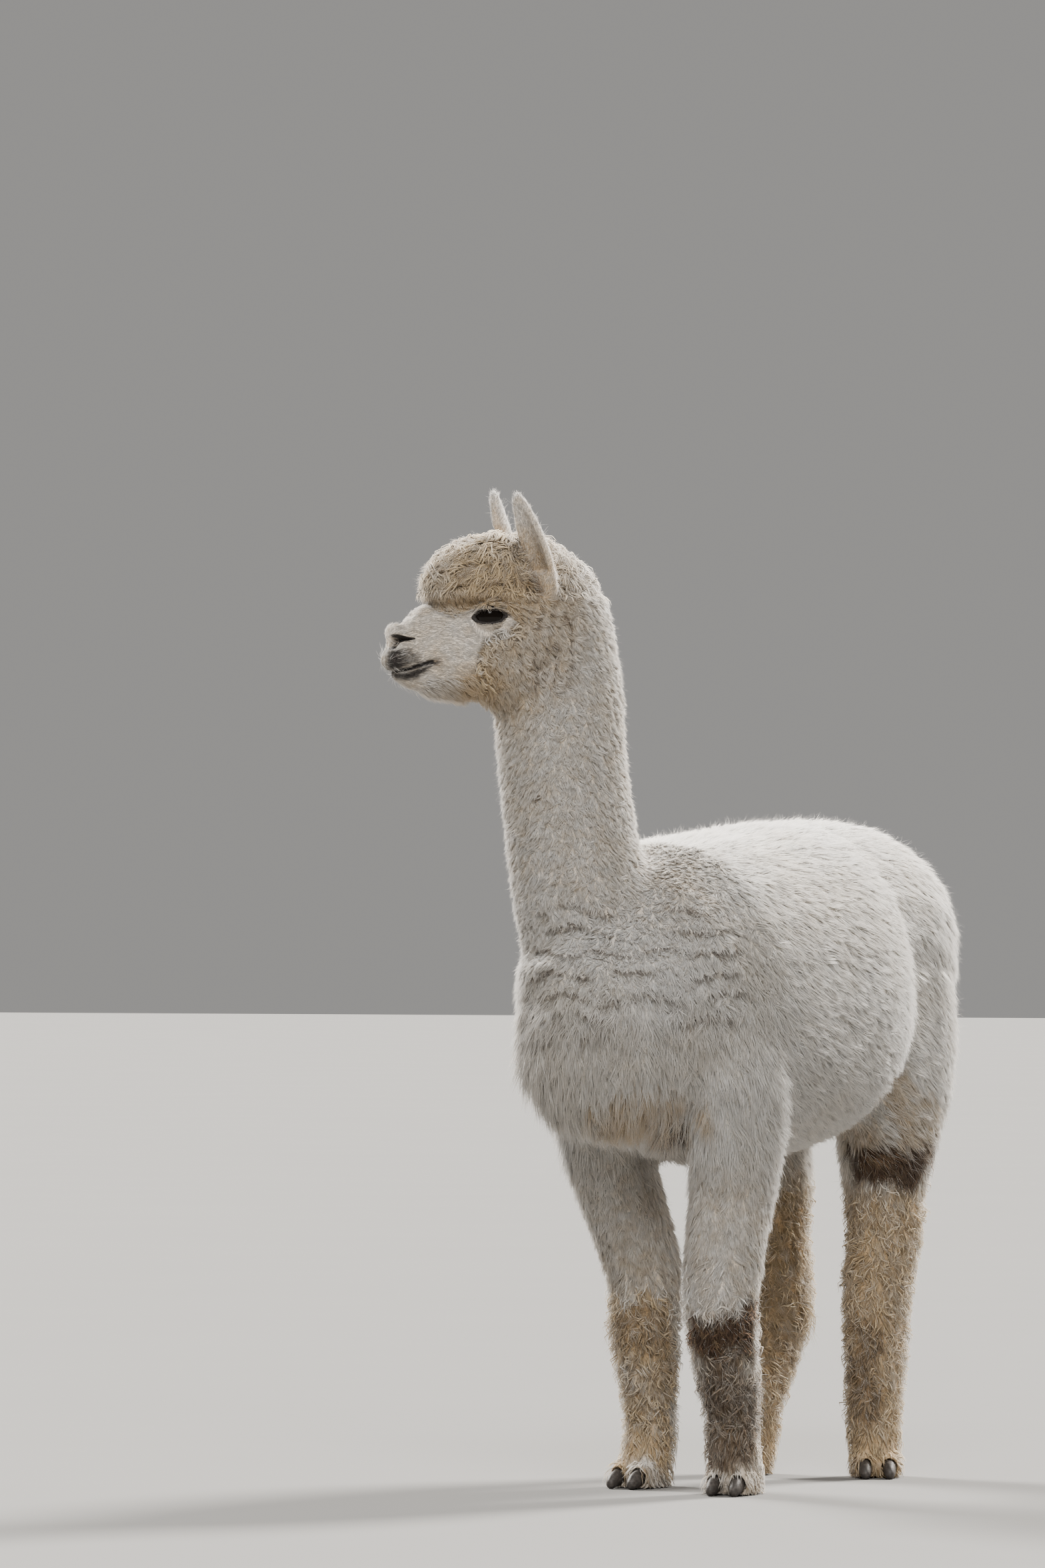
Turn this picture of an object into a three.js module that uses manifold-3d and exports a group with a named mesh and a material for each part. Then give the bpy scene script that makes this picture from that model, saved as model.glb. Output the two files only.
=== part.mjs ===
// A life-size standing huacaya alpaca as a still display model: solids out to the tips of the fleece.
// Millimetres, +Z up. The animal stands on the floor z = 0, faces -Y and has its left side at +X.
import * as THREE from "three";
import { mergeVertices } from "three/addons/utils/BufferGeometryUtils.js";
import Module from "manifold-3d";

const wasm = await Module();
wasm.setup();

// ---------------------------------------------------------------- driving dimensions
const GAP = 0.4; // clear width left between two neighbouring solids
const BACK_HEIGHT = 925; // floor to the top of the fleece over the loin
const GIRTH_HEIGHT = 444; // floor to the fleece behind the elbows
const BARREL_HALF_WIDTH = 213; // midline to the fleece at the widest rib
const NOSE_TIP = new THREE.Vector3(-258, -580, 1160);
const HEAD_TURN = THREE.MathUtils.degToRad(41); // how far the head looks to the animal's right
const EAR_TURN = THREE.MathUtils.degToRad(35); // how far an ear's opening faces outwards from ahead
const LEFT_EAR_TIP = [168, 58, 189]; // behind, to the left of and above the nose
const RIGHT_EAR_TIP = [172, -54, 199];
const EAR_HOLLOW = 8; // how far the cup of an ear lies ahead of the ear's middle
const EYE_RADIUS = 21;
const LEG_CUT_HEIGHT = 438; // level cut between the trunk and the legs
const CARPUS_CUT_HEIGHT = 262;
const HOCK_CUT_HEIGHT = 250;
const FETLOCK_CUT_HEIGHT = 74;
const TOE_SPREAD = 17; // middle of a foot to the middle of each of its two toes

const X = new THREE.Vector3(1, 0, 0);
const Y = new THREE.Vector3(0, 1, 0);
const Z = new THREE.Vector3(0, 0, 1);
const vec = (x, y, z) => new THREE.Vector3(x, y, z);

// ---------------------------------------------------------------- shape tools

// A power of a sine or cosine that keeps its sign, for superellipse sections.
const signedPower = (value, power) => Math.sign(value) * Math.abs(value) ** power;

// A sphere stretched along a line of stations. Each station is { at, side, wide, fore, aft }: its
// centre, the unit vector across the section, half its width, and its reach ahead of and behind the
// centre. The ends are domes that stand startCap and endCap beyond the first and last station.
function stretched(stations, options = {}) {
  const { around = 24, rows = 16, capRows = 3, startCap = 20, endCap = 20, square = 2, grow = 0 } = options;
  const through = (points) => new THREE.CatmullRomCurve3(points, false, "catmullrom", 0.5);
  const centres = through(stations.map((s) => s.at));
  const sizes = through(stations.map((s) => vec(s.wide + grow, s.fore + grow, s.aft + grow)));
  const sides = through(stations.map((s) => s.side));
  const geometry = new THREE.SphereGeometry(1, around, rows + 2 * capRows);
  const place = geometry.getAttribute("position");
  const uv = geometry.getAttribute("uv");
  for (let i = 0; i < place.count; i++) {
    const row = (1 - uv.getY(i)) * (rows + 2 * capRows);
    const along = THREE.MathUtils.clamp((row - capRows) / rows, 0, 1);
    const startTurn = (Math.PI / 2) * THREE.MathUtils.clamp(1 - row / capRows, 0, 1);
    const endTurn = (Math.PI / 2) * THREE.MathUtils.clamp((row - capRows - rows) / capRows, 0, 1);
    const shrink = Math.cos(startTurn) * Math.cos(endTurn);
    const reach = (endCap + grow) * Math.sin(endTurn) - (startCap + grow) * Math.sin(startTurn);
    const radius = Math.hypot(place.getX(i), place.getZ(i)) || 1;
    const across = signedPower(place.getX(i) / radius, 2 / square);
    const ahead = signedPower(-place.getZ(i) / radius, 2 / square);
    const tangent = centres.getTangent(along);
    const side = sides.getPoint(along).projectOnPlane(tangent).normalize();
    const fore = side.clone().cross(tangent);
    const size = sizes.getPoint(along);
    const point = centres
      .getPoint(along)
      .addScaledVector(tangent, reach)
      .addScaledVector(side, across * size.x * shrink)
      .addScaledVector(fore, ahead * (ahead > 0 ? size.y : size.z) * shrink);
    place.setXYZ(i, point.x, point.y, point.z);
  }
  return solidFrom(geometry);
}

// The closed body of a geometry, ready to be joined and cut.
function solidFrom(geometry) {
  for (const name of Object.keys(geometry.attributes)) {
    if (name !== "position") geometry.deleteAttribute(name);
  }
  const merged = mergeVertices(geometry, 1e-3);
  return new wasm.Manifold(
    new wasm.Mesh({
      numProp: 3,
      vertProperties: merged.attributes.position.array,
      triVerts: new Uint32Array(merged.index.array),
    }),
  );
}

const joined = (solids) => solids.reduce((whole, solid) => whole.add(solid));
const without = (solid, cutters) => cutters.reduce((left, cutter) => left.subtract(cutter), solid);

// What lies on the side of a plane that its normal points to, half a gap clear of the plane.
function beyond(solid, normal, point) {
  const unit = normal.clone().normalize();
  return solid.trimByPlane(unit.toArray(), unit.dot(point) + GAP / 2);
}

// The two sides of a thin cut: the one that the normal points to comes first.
const parted = (solid, normal, point) => [
  beyond(solid, normal, point),
  beyond(solid, normal.clone().negate(), point),
];

// ---------------------------------------------------------------- trunk

// One upright section of the trunk: how far back it is, its midline, its top, bottom and half width.
function trunkSection(y, x, top, bottom, half) {
  const middle = (top + bottom) / 2;
  return { at: vec(x, y, middle), side: X, wide: half, fore: top - middle, aft: middle - bottom };
}

// Breast, shoulders and ribs, ending in the round of the flank.
function ribsSolid() {
  const half = BARREL_HALF_WIDTH;
  return stretched(
    [
      trunkSection(-402, -34, 766, 468, 0.58 * half), // breast
      trunkSection(-342, -28, 824, 455, 0.77 * half), // point of the shoulder
      trunkSection(-240, -14, BACK_HEIGHT - 34, GIRTH_HEIGHT, 0.93 * half), // withers
      trunkSection(-100, -4, BACK_HEIGHT - 20, GIRTH_HEIGHT + 4, 0.99 * half), // girth
      trunkSection(10, 0, BACK_HEIGHT - 6, GIRTH_HEIGHT + 16, half), // last ribs
      trunkSection(90, 0, BACK_HEIGHT - 1, GIRTH_HEIGHT + 40, 0.92 * half), // flank
    ],
    { around: 24, rows: 10, startCap: 62, endCap: 100, square: 2.3 },
  );
}

// Loin, hips and buttocks, set higher than the ribs.
function rumpSolid() {
  return stretched(
    [
      trunkSection(20, 0, BACK_HEIGHT - 8, 640, 170),
      trunkSection(130, 0, BACK_HEIGHT + 1, 610, 182), // loin
      trunkSection(220, 0, BACK_HEIGHT - 8, 576, 184), // hips
      trunkSection(306, 0, BACK_HEIGHT - 57, 562, 157),
      trunkSection(376, 0, BACK_HEIGHT - 106, 600, 113), // buttocks
    ],
    { around: 20, rows: 7, startCap: 60, endCap: 46, square: 2.05 },
  );
}

function tailSolid(grow) {
  return stretched(
    [
      { at: vec(0, 392, 806), side: X, wide: 32, fore: 24, aft: 24 },
      { at: vec(0, 424, 764), side: X, wide: 42, fore: 26, aft: 27 },
      { at: vec(0, 441, 706), side: X, wide: 44, fore: 25, aft: 26 },
      { at: vec(0, 440, 646), side: X, wide: 34, fore: 20, aft: 22 },
    ],
    { around: 10, rows: 5, capRows: 2, startCap: 14, endCap: 30, grow },
  );
}

// ---------------------------------------------------------------- neck

// One section of the neck, turned to the animal's right by a share of the head's turn.
function neckSection(x, y, z, turnShare, wide, fore, aft) {
  return { at: vec(x, y, z), side: X.clone().applyAxisAngle(Z, -HEAD_TURN * turnShare), wide, fore, aft };
}

function neckSolid() {
  return stretched(
    [
      neckSection(-20, -230, 610, 0, 120, 150, 130),
      neckSection(-52, -328, 720, 0.1, 108, 112, 118),
      neckSection(-70, -376, 820, 0.25, 94, 101, 94),
      neckSection(-80, -386, 905, 0.4, 89, 93, 90),
      neckSection(-90, -391, 990, 0.55, 88, 91, 89),
      neckSection(-97, -389, 1070, 0.75, 88, 92, 90),
      neckSection(-101, -393, 1140, 0.9, 82, 92, 88),
      neckSection(-108, -402, 1206, 1, 70, 80, 82),
    ],
    { around: 18, rows: 10, startCap: 60, endCap: 70 },
  );
}

// ---------------------------------------------------------------- head

const LEFTWARD = X.clone().applyAxisAngle(Z, -HEAD_TURN);
const BACKWARD = Y.clone().applyAxisAngle(Z, -HEAD_TURN);
const FORWARD = BACKWARD.clone().negate();

// A point of the head: its distance behind, to the left of and above the tip of the nose.
const headPoint = (behind, left, above) =>
  NOSE_TIP.clone().addScaledVector(BACKWARD, behind).addScaledVector(LEFTWARD, left).addScaledVector(Z, above);

// One upright section of the head, from the nose backwards.
function headSection(behind, top, bottom, half) {
  const middle = (top + bottom) / 2;
  return { at: headPoint(behind, 0, middle), side: LEFTWARD, wide: half, fore: top - middle, aft: middle - bottom };
}

// Nose, lips, cheeks and jaw.
function faceSolid() {
  return stretched(
    [
      headSection(9, 24, -32, 21), // nose and upper lip
      headSection(22, 29, -57, 28), // nostrils
      headSection(40, 35, -71, 32), // mouth
      headSection(66, 44, -78, 36), // bridge of the nose
      headSection(98, 58, -83, 46), // under the brow
      headSection(135, 74, -90, 58), // eyes
      headSection(172, 92, -108, 72), // cheeks
      headSection(212, 104, -114, 79), // angle of the jaw
    ],
    { around: 18, rows: 12, startCap: 7, endCap: 44, square: 2.2 },
  );
}

// The woolly cap over the forehead, crown and nape.
function topknotSolid() {
  return stretched(
    [
      headSection(65, 93, 37, 34),
      headSection(86, 117, 36, 49),
      headSection(114, 139, 30, 58),
      headSection(150, 152, 20, 62),
      headSection(190, 151, 0, 60),
      headSection(224, 135, -20, 64),
      headSection(246, 108, -40, 62),
    ],
    { around: 16, rows: 8, capRows: 2, startCap: 13, endCap: 26, square: 2.1 },
  );
}

// A spear-shaped ear, standing beside the crown. hand is 1 on the left and -1 on the right.
function earSpindle(hand, grow, shift) {
  const opening = FORWARD.clone().applyAxisAngle(Z, hand * EAR_TURN);
  const across = LEFTWARD.clone().applyAxisAngle(Z, hand * EAR_TURN);
  const root = headPoint(214, hand * 54, 52);
  const tip = headPoint(...(hand > 0 ? LEFT_EAR_TIP : RIGHT_EAR_TIP));
  const station = (share, wide, deep, bow) => ({
    at: root.clone().lerp(tip, share).addScaledVector(LEFTWARD, hand * bow).addScaledVector(opening, shift),
    side: across,
    wide,
    fore: deep,
    aft: deep,
  });
  return stretched(
    [station(0, 16, 16, 0), station(0.3, 22, 16, 5), station(0.58, 20, 13, 7), station(0.82, 15, 10, 4), station(0.96, 9, 7, 1)],
    { around: 10, rows: 6, capRows: 2, startCap: 6, endCap: 8, grow },
  );
}

// The ear with its cup, which opens ahead and outwards above the wool of the cheek.
function earSolid(hand) {
  const cup = earSpindle(hand, -4, EAR_HOLLOW).trimByPlane(Z.toArray(), headPoint(0, 0, 84).z);
  return earSpindle(hand, 0, 0).subtract(cup);
}

function eyeSolid(hand, grow) {
  const ball = new THREE.SphereGeometry(EYE_RADIUS + grow, 12, 8);
  const middle = headPoint(135, hand * 42, 27);
  ball.translate(middle.x, middle.y, middle.z);
  return solidFrom(ball);
}

// ---------------------------------------------------------------- legs

// One level section of a leg.
const legSection = (x, y, z, wide, fore, aft) => ({ at: vec(x, y, z), side: X, wide, fore, aft });

// hand is 1 for the left leg and -1 for the right. A pose gives [x from the midline, y] by joint.
function foreLegSolid(hand, pose) {
  const section = ([x, y], z, wide, fore, aft) => legSection(hand * x, y, z, wide, fore, aft);
  const shank = [(pose.fetlock[0] + pose.carpus[0]) / 2, (pose.fetlock[1] + pose.carpus[1]) / 2];
  return stretched(
    [
      section(pose.foot, -40, 33, 36, 36),
      section(pose.foot, 20, 33, 38, 36),
      section(pose.fetlock, 66, 35, 40, 40),
      section(pose.fetlock, 110, 37, 42, 42),
      section(shank, 175, 45, 50, 50),
      section(pose.carpus, 240, 50, 55, 54),
      section(pose.carpus, 292, 54, 60, 58),
      section(pose.forearm, 355, 56, 62, 64),
      section(pose.elbow, 430, 60, 70, 76),
      section(pose.shoulder, 540, 74, 96, 100),
      section(pose.shoulder, 640, 70, 90, 90),
    ],
    { around: 12, rows: 13, capRows: 2, startCap: 2, endCap: 40 },
  );
}

function hindLegSolid(hand, pose) {
  const section = ([x, y], z, wide, fore, aft) => legSection(hand * x, y, z, wide, fore, aft);
  const shank = [(pose.fetlock[0] + pose.hock[0]) / 2, (pose.fetlock[1] + pose.hock[1]) / 2];
  return stretched(
    [
      section(pose.foot, -40, 31, 34, 34),
      section(pose.foot, 20, 31, 36, 34),
      section(pose.fetlock, 62, 36, 41, 41),
      section(pose.fetlock, 100, 40, 46, 46),
      section(shank, 155, 42, 50, 52),
      section(pose.hock, 226, 45, 56, 66),
      section(pose.hock, 276, 47, 60, 68),
      section(pose.gaskin, 335, 51, 64, 66),
      section(pose.gaskin, 410, 57, 78, 76),
      section(pose.stifle, 500, 74, 112, 100),
      section(pose.thigh, 600, 88, 140, 120),
      section(pose.thigh, 710, 84, 120, 104),
    ],
    { around: 12, rows: 14, capRows: 2, startCap: 2, endCap: 50 },
  );
}

// A toe, its nail, or with grow the room for the nail. side is 1 for the outer toe and -1 for the inner.
function toePoint(leg, side, ahead, height) {
  const turn = leg.hand * leg.turnOut;
  const [x, y] = leg.pose.foot;
  return vec(leg.hand * x, y, height)
    .addScaledVector(Y.clone().applyAxisAngle(Z, turn), -ahead)
    .addScaledVector(X.clone().applyAxisAngle(Z, turn), leg.hand * side * TOE_SPREAD);
}

function toeSolid(leg, side) {
  const section = (ahead, height, wide, up, down) => ({
    at: toePoint(leg, side, ahead, height),
    side: X.clone().applyAxisAngle(Z, leg.hand * leg.turnOut),
    wide,
    fore: up,
    aft: down,
  });
  return stretched([section(-10, 20, 16, 22, 30), section(20, 17, 17, 21, 28), section(40, 12, 16, 17, 22)], {
    around: 8,
    rows: 2,
    capRows: 1,
    startCap: 8,
    endCap: 8,
    square: 2.4,
  });
}

function nailSolid(leg, side, grow) {
  const section = (ahead, height, wide, up, down) => ({
    at: toePoint(leg, side, ahead, height),
    side: X.clone().applyAxisAngle(Z, leg.hand * leg.turnOut),
    wide,
    fore: up,
    aft: down,
  });
  return stretched([section(32, 18, 9, 9, 12), section(48, 12, 10, 11, 14), section(61, 5, 7, 7, 8)], {
    around: 8,
    rows: 2,
    capRows: 1,
    startCap: 3,
    endCap: 4,
    grow,
  });
}

const legs = [
  {
    name: "front_left",
    hand: 1,
    turnOut: 0.14,
    solidOf: foreLegSolid,
    cut: CARPUS_CUT_HEIGHT,
    pose: {
      foot: [86, -222],
      fetlock: [86, -235],
      carpus: [88, -270],
      forearm: [92, -262],
      elbow: [97, -252],
      shoulder: [106, -262],
    },
  },
  {
    name: "front_right",
    hand: -1,
    turnOut: 0.1,
    solidOf: foreLegSolid,
    cut: CARPUS_CUT_HEIGHT,
    pose: {
      foot: [88, -166],
      fetlock: [88, -154],
      carpus: [90, -164],
      forearm: [98, -184],
      elbow: [108, -214],
      shoulder: [116, -246],
    },
  },
  {
    name: "hind_left",
    hand: 1,
    turnOut: 0.55,
    solidOf: hindLegSolid,
    cut: HOCK_CUT_HEIGHT,
    pose: {
      foot: [90, 178],
      fetlock: [88, 180],
      hock: [84, 194],
      gaskin: [90, 208],
      stifle: [104, 196],
      thigh: [98, 214],
    },
  },
  {
    name: "hind_right",
    hand: -1,
    turnOut: 0.25,
    solidOf: hindLegSolid,
    cut: HOCK_CUT_HEIGHT,
    pose: {
      foot: [84, 128],
      fetlock: [84, 142],
      hock: [82, 208],
      gaskin: [88, 204],
      stifle: [104, 196],
      thigh: [98, 214],
    },
  },
];

// ---------------------------------------------------------------- the named solids

const materials = {
  fleece: new THREE.MeshStandardMaterial({ color: 0xe6ddcd, roughness: 1, metalness: 0 }),
  leg: new THREE.MeshStandardMaterial({ color: 0xc4a883, roughness: 1, metalness: 0 }),
  face: new THREE.MeshStandardMaterial({ color: 0xe3dbd0, roughness: 0.9, metalness: 0 }),
  muzzle: new THREE.MeshStandardMaterial({ color: 0xb5aca2, roughness: 0.8, metalness: 0 }),
  eye: new THREE.MeshStandardMaterial({ color: 0x0c0908, roughness: 0.08, metalness: 0 }),
  nail: new THREE.MeshStandardMaterial({ color: 0x2b2622, roughness: 0.5, metalness: 0 }),
};

const alpaca = new THREE.Group();

// Adds a solid to the model as a named mesh.
function addNode(name, solid, material) {
  const mesh = solid.getMesh();
  const geometry = new THREE.BufferGeometry();
  geometry.setAttribute("position", new THREE.BufferAttribute(new Float32Array(mesh.vertProperties), 3));
  geometry.setIndex(new THREE.BufferAttribute(mesh.triVerts, 1));
  geometry.computeVertexNormals();
  const node = new THREE.Mesh(geometry, material);
  node.name = name;
  alpaca.add(node);
}

const legTop = vec(0, 0, LEG_CUT_HEIGHT);
for (const leg of legs) {
  const sides = { outer: 1, inner: -1 };
  const toes = Object.values(sides).map((side) => toeSolid(leg, side));
  const whole = joined([leg.solidOf(leg.hand, leg.pose), ...toes]).trimByPlane(Z.toArray(), 0);
  const [inTrunk, free] = parted(whole, Z, legTop);
  leg.inTrunk = inTrunk;
  const [upper, shankAndFoot] = parted(free, Z, vec(0, 0, leg.cut));
  const [lower, foot] = parted(shankAndFoot, Z, vec(0, 0, FETLOCK_CUT_HEIGHT));
  const nailRooms = Object.values(sides).map((side) => nailSolid(leg, side, GAP));
  addNode(`leg_${leg.name}_upper`, upper, materials.leg);
  addNode(`leg_${leg.name}_lower`, lower, materials.leg);
  addNode(`foot_${leg.name}`, without(foot, nailRooms), materials.leg);
  for (const [place, side] of Object.entries(sides)) {
    const nail = nailSolid(leg, side, 0).trimByPlane(Z.toArray(), 0);
    addNode(`nail_${leg.name}_${place}`, nail, materials.nail);
  }
}

const body = joined([ribsSolid(), rumpSolid(), neckSolid(), faceSolid(), topknotSolid(), ...legs.map((leg) => leg.inTrunk)]);
const [neckAndHead, trunk] = parted(body, vec(0, -1, 1), vec(0, -280, 862));
addNode("trunk", without(trunk, [tailSolid(GAP)]), materials.fleece);
addNode("tail", tailSolid(0), materials.fleece);

const crownward = FORWARD.clone().multiplyScalar(0.53).addScaledVector(Z, 0.85);
const [wholeHead, neck] = parted(neckAndHead, crownward, headPoint(170, 0, -112));
const organs = [1, -1].flatMap((hand) => [earSpindle(hand, GAP, 0), eyeSolid(hand, GAP)]);
const [topknot, bareHead] = parted(without(wholeHead, organs), vec(0, 0, 1), headPoint(0, 0, 60));
const [muzzle, head] = parted(bareHead, FORWARD, headPoint(92, 0, 0));
addNode("neck", neck, materials.fleece);
addNode("topknot", topknot, materials.fleece);
addNode("head", head, materials.face);
addNode("muzzle", muzzle, materials.muzzle);
for (const [name, hand] of [["left", 1], ["right", -1]]) {
  addNode(`ear_${name}`, earSolid(hand), materials.face);
  addNode(`eye_${name}`, eyeSolid(hand, 0), materials.eye);
}

// The origin is on the floor, under the middle of the animal's box.
const box = new THREE.Box3().setFromObject(alpaca);
alpaca.position.set(-(box.min.x + box.max.x) / 2, -(box.min.y + box.max.y) / 2, -box.min.z);

export default alpaca;
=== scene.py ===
"""A life-size white alpaca standing still: one skin, a fleece of solid locks, two eyes, eight toenails."""

import math

import bmesh
import bpy
import numpy as np
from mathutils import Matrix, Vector
from mathutils.bvhtree import BVHTree
from mathutils.kdtree import KDTree


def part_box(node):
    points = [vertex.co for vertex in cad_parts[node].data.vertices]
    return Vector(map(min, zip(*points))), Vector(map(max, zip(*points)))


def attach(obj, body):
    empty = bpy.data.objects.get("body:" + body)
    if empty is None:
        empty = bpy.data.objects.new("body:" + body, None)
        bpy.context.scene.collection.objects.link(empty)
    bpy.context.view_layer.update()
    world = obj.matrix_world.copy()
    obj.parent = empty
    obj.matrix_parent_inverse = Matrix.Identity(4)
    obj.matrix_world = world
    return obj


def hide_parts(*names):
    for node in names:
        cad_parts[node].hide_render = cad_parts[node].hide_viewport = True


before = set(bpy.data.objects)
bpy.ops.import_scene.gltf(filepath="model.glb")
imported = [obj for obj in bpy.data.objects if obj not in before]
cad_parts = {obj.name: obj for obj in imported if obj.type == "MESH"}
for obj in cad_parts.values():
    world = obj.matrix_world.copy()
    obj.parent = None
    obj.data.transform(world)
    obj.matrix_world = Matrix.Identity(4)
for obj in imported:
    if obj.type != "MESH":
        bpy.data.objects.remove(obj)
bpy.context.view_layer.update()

bl_info = {
    "name": "Alpaca",
    "version": (1, 0, 0),
    "blender": (4, 5, 0),
    "location": "3D View > Sidebar > Alpaca",
    "description": "Builds the skin, fleece, eyes and toenails of a standing alpaca",
    "category": "Add Mesh",
}

MM = 0.001
UP = np.array((0.0, 0.0, 1.0))

# ---------------------------------------------------------------- the head's own axes


def middle(node):
    """The middle of a CAD node's box."""
    low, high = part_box(node)
    return (np.array(low) + np.array(high)) / 2


def unit(vectors):
    """Vectors of length 1."""
    vectors = np.asarray(vectors, float)
    return vectors / np.maximum(np.linalg.norm(vectors, axis=-1, keepdims=True), 1e-9)


EYE_MIDDLES = {"left": middle("eye_left"), "right": middle("eye_right")}

# Places on the head, in millimetres behind the nose tip, to its left and above it.
EYE_PLACE = np.array((135.0, 42.0, 27.0))
HEAD_MIDDLE = (120, 0, 20)
FACE_MIDDLE = (80, 0, 0)
FINE_MIDDLE = (110, 0, 20)  # of the part of the skin that isn't thinned
CROWN = (170, 0, 60)
CHEEK = (215, 0, -20)

LEFTWARD = unit(EYE_MIDDLES["left"] - EYE_MIDDLES["right"])
BACKWARD = np.cross(UP, LEFTWARD)
HEAD_AXES = np.array((BACKWARD, LEFTWARD, UP))
NOSE_TIP = (
    (EYE_MIDDLES["left"] + EYE_MIDDLES["right"]) / 2
    - (BACKWARD * EYE_PLACE[0] + UP * EYE_PLACE[2]) * MM
)


def to_head(points):
    """Row-frame points as millimetres behind, left of and above the nose tip."""
    return (points - NOSE_TIP) @ HEAD_AXES.T / MM


def side_view(place):
    """Places on the head as seen from its side: behind and above the nose tip."""
    return place[:, [0, 2]]


# ---------------------------------------------------------------- small numeric helpers


def smooth(value, low, high):
    """0 below low and 1 above high, with an even curve between. low may be the larger one."""
    share = np.clip((value - low) / (high - low), 0, 1)
    return share * share * (3 - 2 * share)


def bell(distance, width):
    """1 at no distance, falling away over width."""
    return np.exp(-((distance / width) ** 2))


def distance_to(places, centre, sizes=1):
    """Distance of each place from a centre, in units of sizes."""
    return np.linalg.norm((places - centre) / sizes, axis=1)


def path_distance(places, path):
    """Distance from each place to an open path, and how far along the path its nearest point is, 0 to 1."""
    path = np.asarray(path, float)
    nearest = np.full(len(places), np.inf)
    where = np.zeros(len(places))
    for index, (start, end) in enumerate(zip(path[:-1], path[1:])):
        along = end - start
        share = np.clip((places - start) @ along / (along @ along), 0, 1)
        distance = np.linalg.norm(places - start - share[:, None] * along, axis=1)
        where = np.where(distance < nearest, (index + share) / (len(path) - 1), where)
        nearest = np.minimum(nearest, distance)
    return nearest, where


def inside_distance(places, outline):
    """Distance from each place to a closed outline, above 0 inside it."""
    outline = np.asarray(outline, float)
    nearest, _ = path_distance(places, np.vstack((outline, outline[:1])))
    inside = np.zeros(len(places), bool)
    for start, end in zip(outline, np.roll(outline, -1, axis=0)):
        crosses = (start[1] > places[:, 1]) != (end[1] > places[:, 1])
        rise = end[1] - start[1] or 1e-9
        reach = start[0] + (places[:, 1] - start[1]) / rise * (end[0] - start[0])
        inside ^= crosses & (places[:, 0] < reach)
    return np.where(inside, nearest, -nearest)


def ripple(points, length, seed):
    """A smooth wandering number from -1 to 1 over space, whose waves are about length long, in metres."""
    rng = np.random.default_rng(seed)
    waves = rng.normal(size=(5, 3)) * (math.pi / length)
    phases = rng.random(5) * 2 * math.pi
    return np.clip(np.sin(points @ waves.T + phases).sum(axis=1) / 2.4, -1, 1)


def relax(points, edges, rounds, hold=None, keep=0.53):
    """Evens out points along edges. keep pushes back after each round, so that the shape doesn't shrink."""
    ends = np.concatenate((edges[:, 0], edges[:, 1]))
    others = np.concatenate((edges[:, 1], edges[:, 0]))
    count = np.maximum(np.bincount(ends, minlength=len(points)), 1)[:, None]
    free = 1 if hold is None else (1 - hold)[:, None]
    for _ in range(rounds):
        for strength in (0.5, -keep) if keep else (0.5,):
            sums = [np.bincount(ends, points[others, k], len(points)) for k in range(points.shape[1])]
            points = points + (np.stack(sums, axis=1) / count - points) * strength * free
    return points


# ---------------------------------------------------------------- regions of the body

LEGS = ("front_left", "front_right", "hind_left", "hind_right")
REGION_NODES = {
    "trunk": ["trunk"],
    "tail": ["tail"],
    "neck": ["neck"],
    "topknot": ["topknot"],
    "head": ["head", "muzzle"],
    "ears": ["ear_left", "ear_right"],
    "legs": [f"leg_{leg}_{half}" for leg in LEGS for half in ("upper", "lower")],
    "feet": [f"foot_{leg}" for leg in LEGS],
}
FLESH = [node for nodes in REGION_NODES.values() for node in nodes]
WAIST = 0.10  # where the fore half of the trunk meets the hind, along the row frame's y
HIND_LEGS = WAIST - 0.03  # behind this the legs are hind legs
STYLE_NAMES = (
    "trunk", "breast", "chest", "tail", "neck", "topknot", "cheeks", "face", "ears", "legs", "shanks",
    "feet",
)

# The bare-haired part of the face, as millimetres behind and above the nose tip, seen from the side.
FACE_OUTLINE = (
    (-30, 75), (48, 52), (60, 36), (82, 27), (100, 33), (112, 37), (135, 38.5), (152, 35), (162, 22),
    (153, 6), (122, -4), (115, -20), (117, -36), (125, -58), (116, -72), (96, -100), (-30, -100),
)

# Bands over which one style of coat turns into the next, in metres: along y for the first, then in height.
TRUNK_TO_BREAST = (-0.14, -0.24)
BREAST_TO_CHEST = (0.72, 0.60)
FRONT_LEG_TO_SHANK = (0.30, 0.24)
HIND_LEG_TO_SHANK = (0.45, 0.38)
NEAR_HEAD = (150, 190)  # millimetres from the head's middle, beyond which the styles blend more widely


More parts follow.
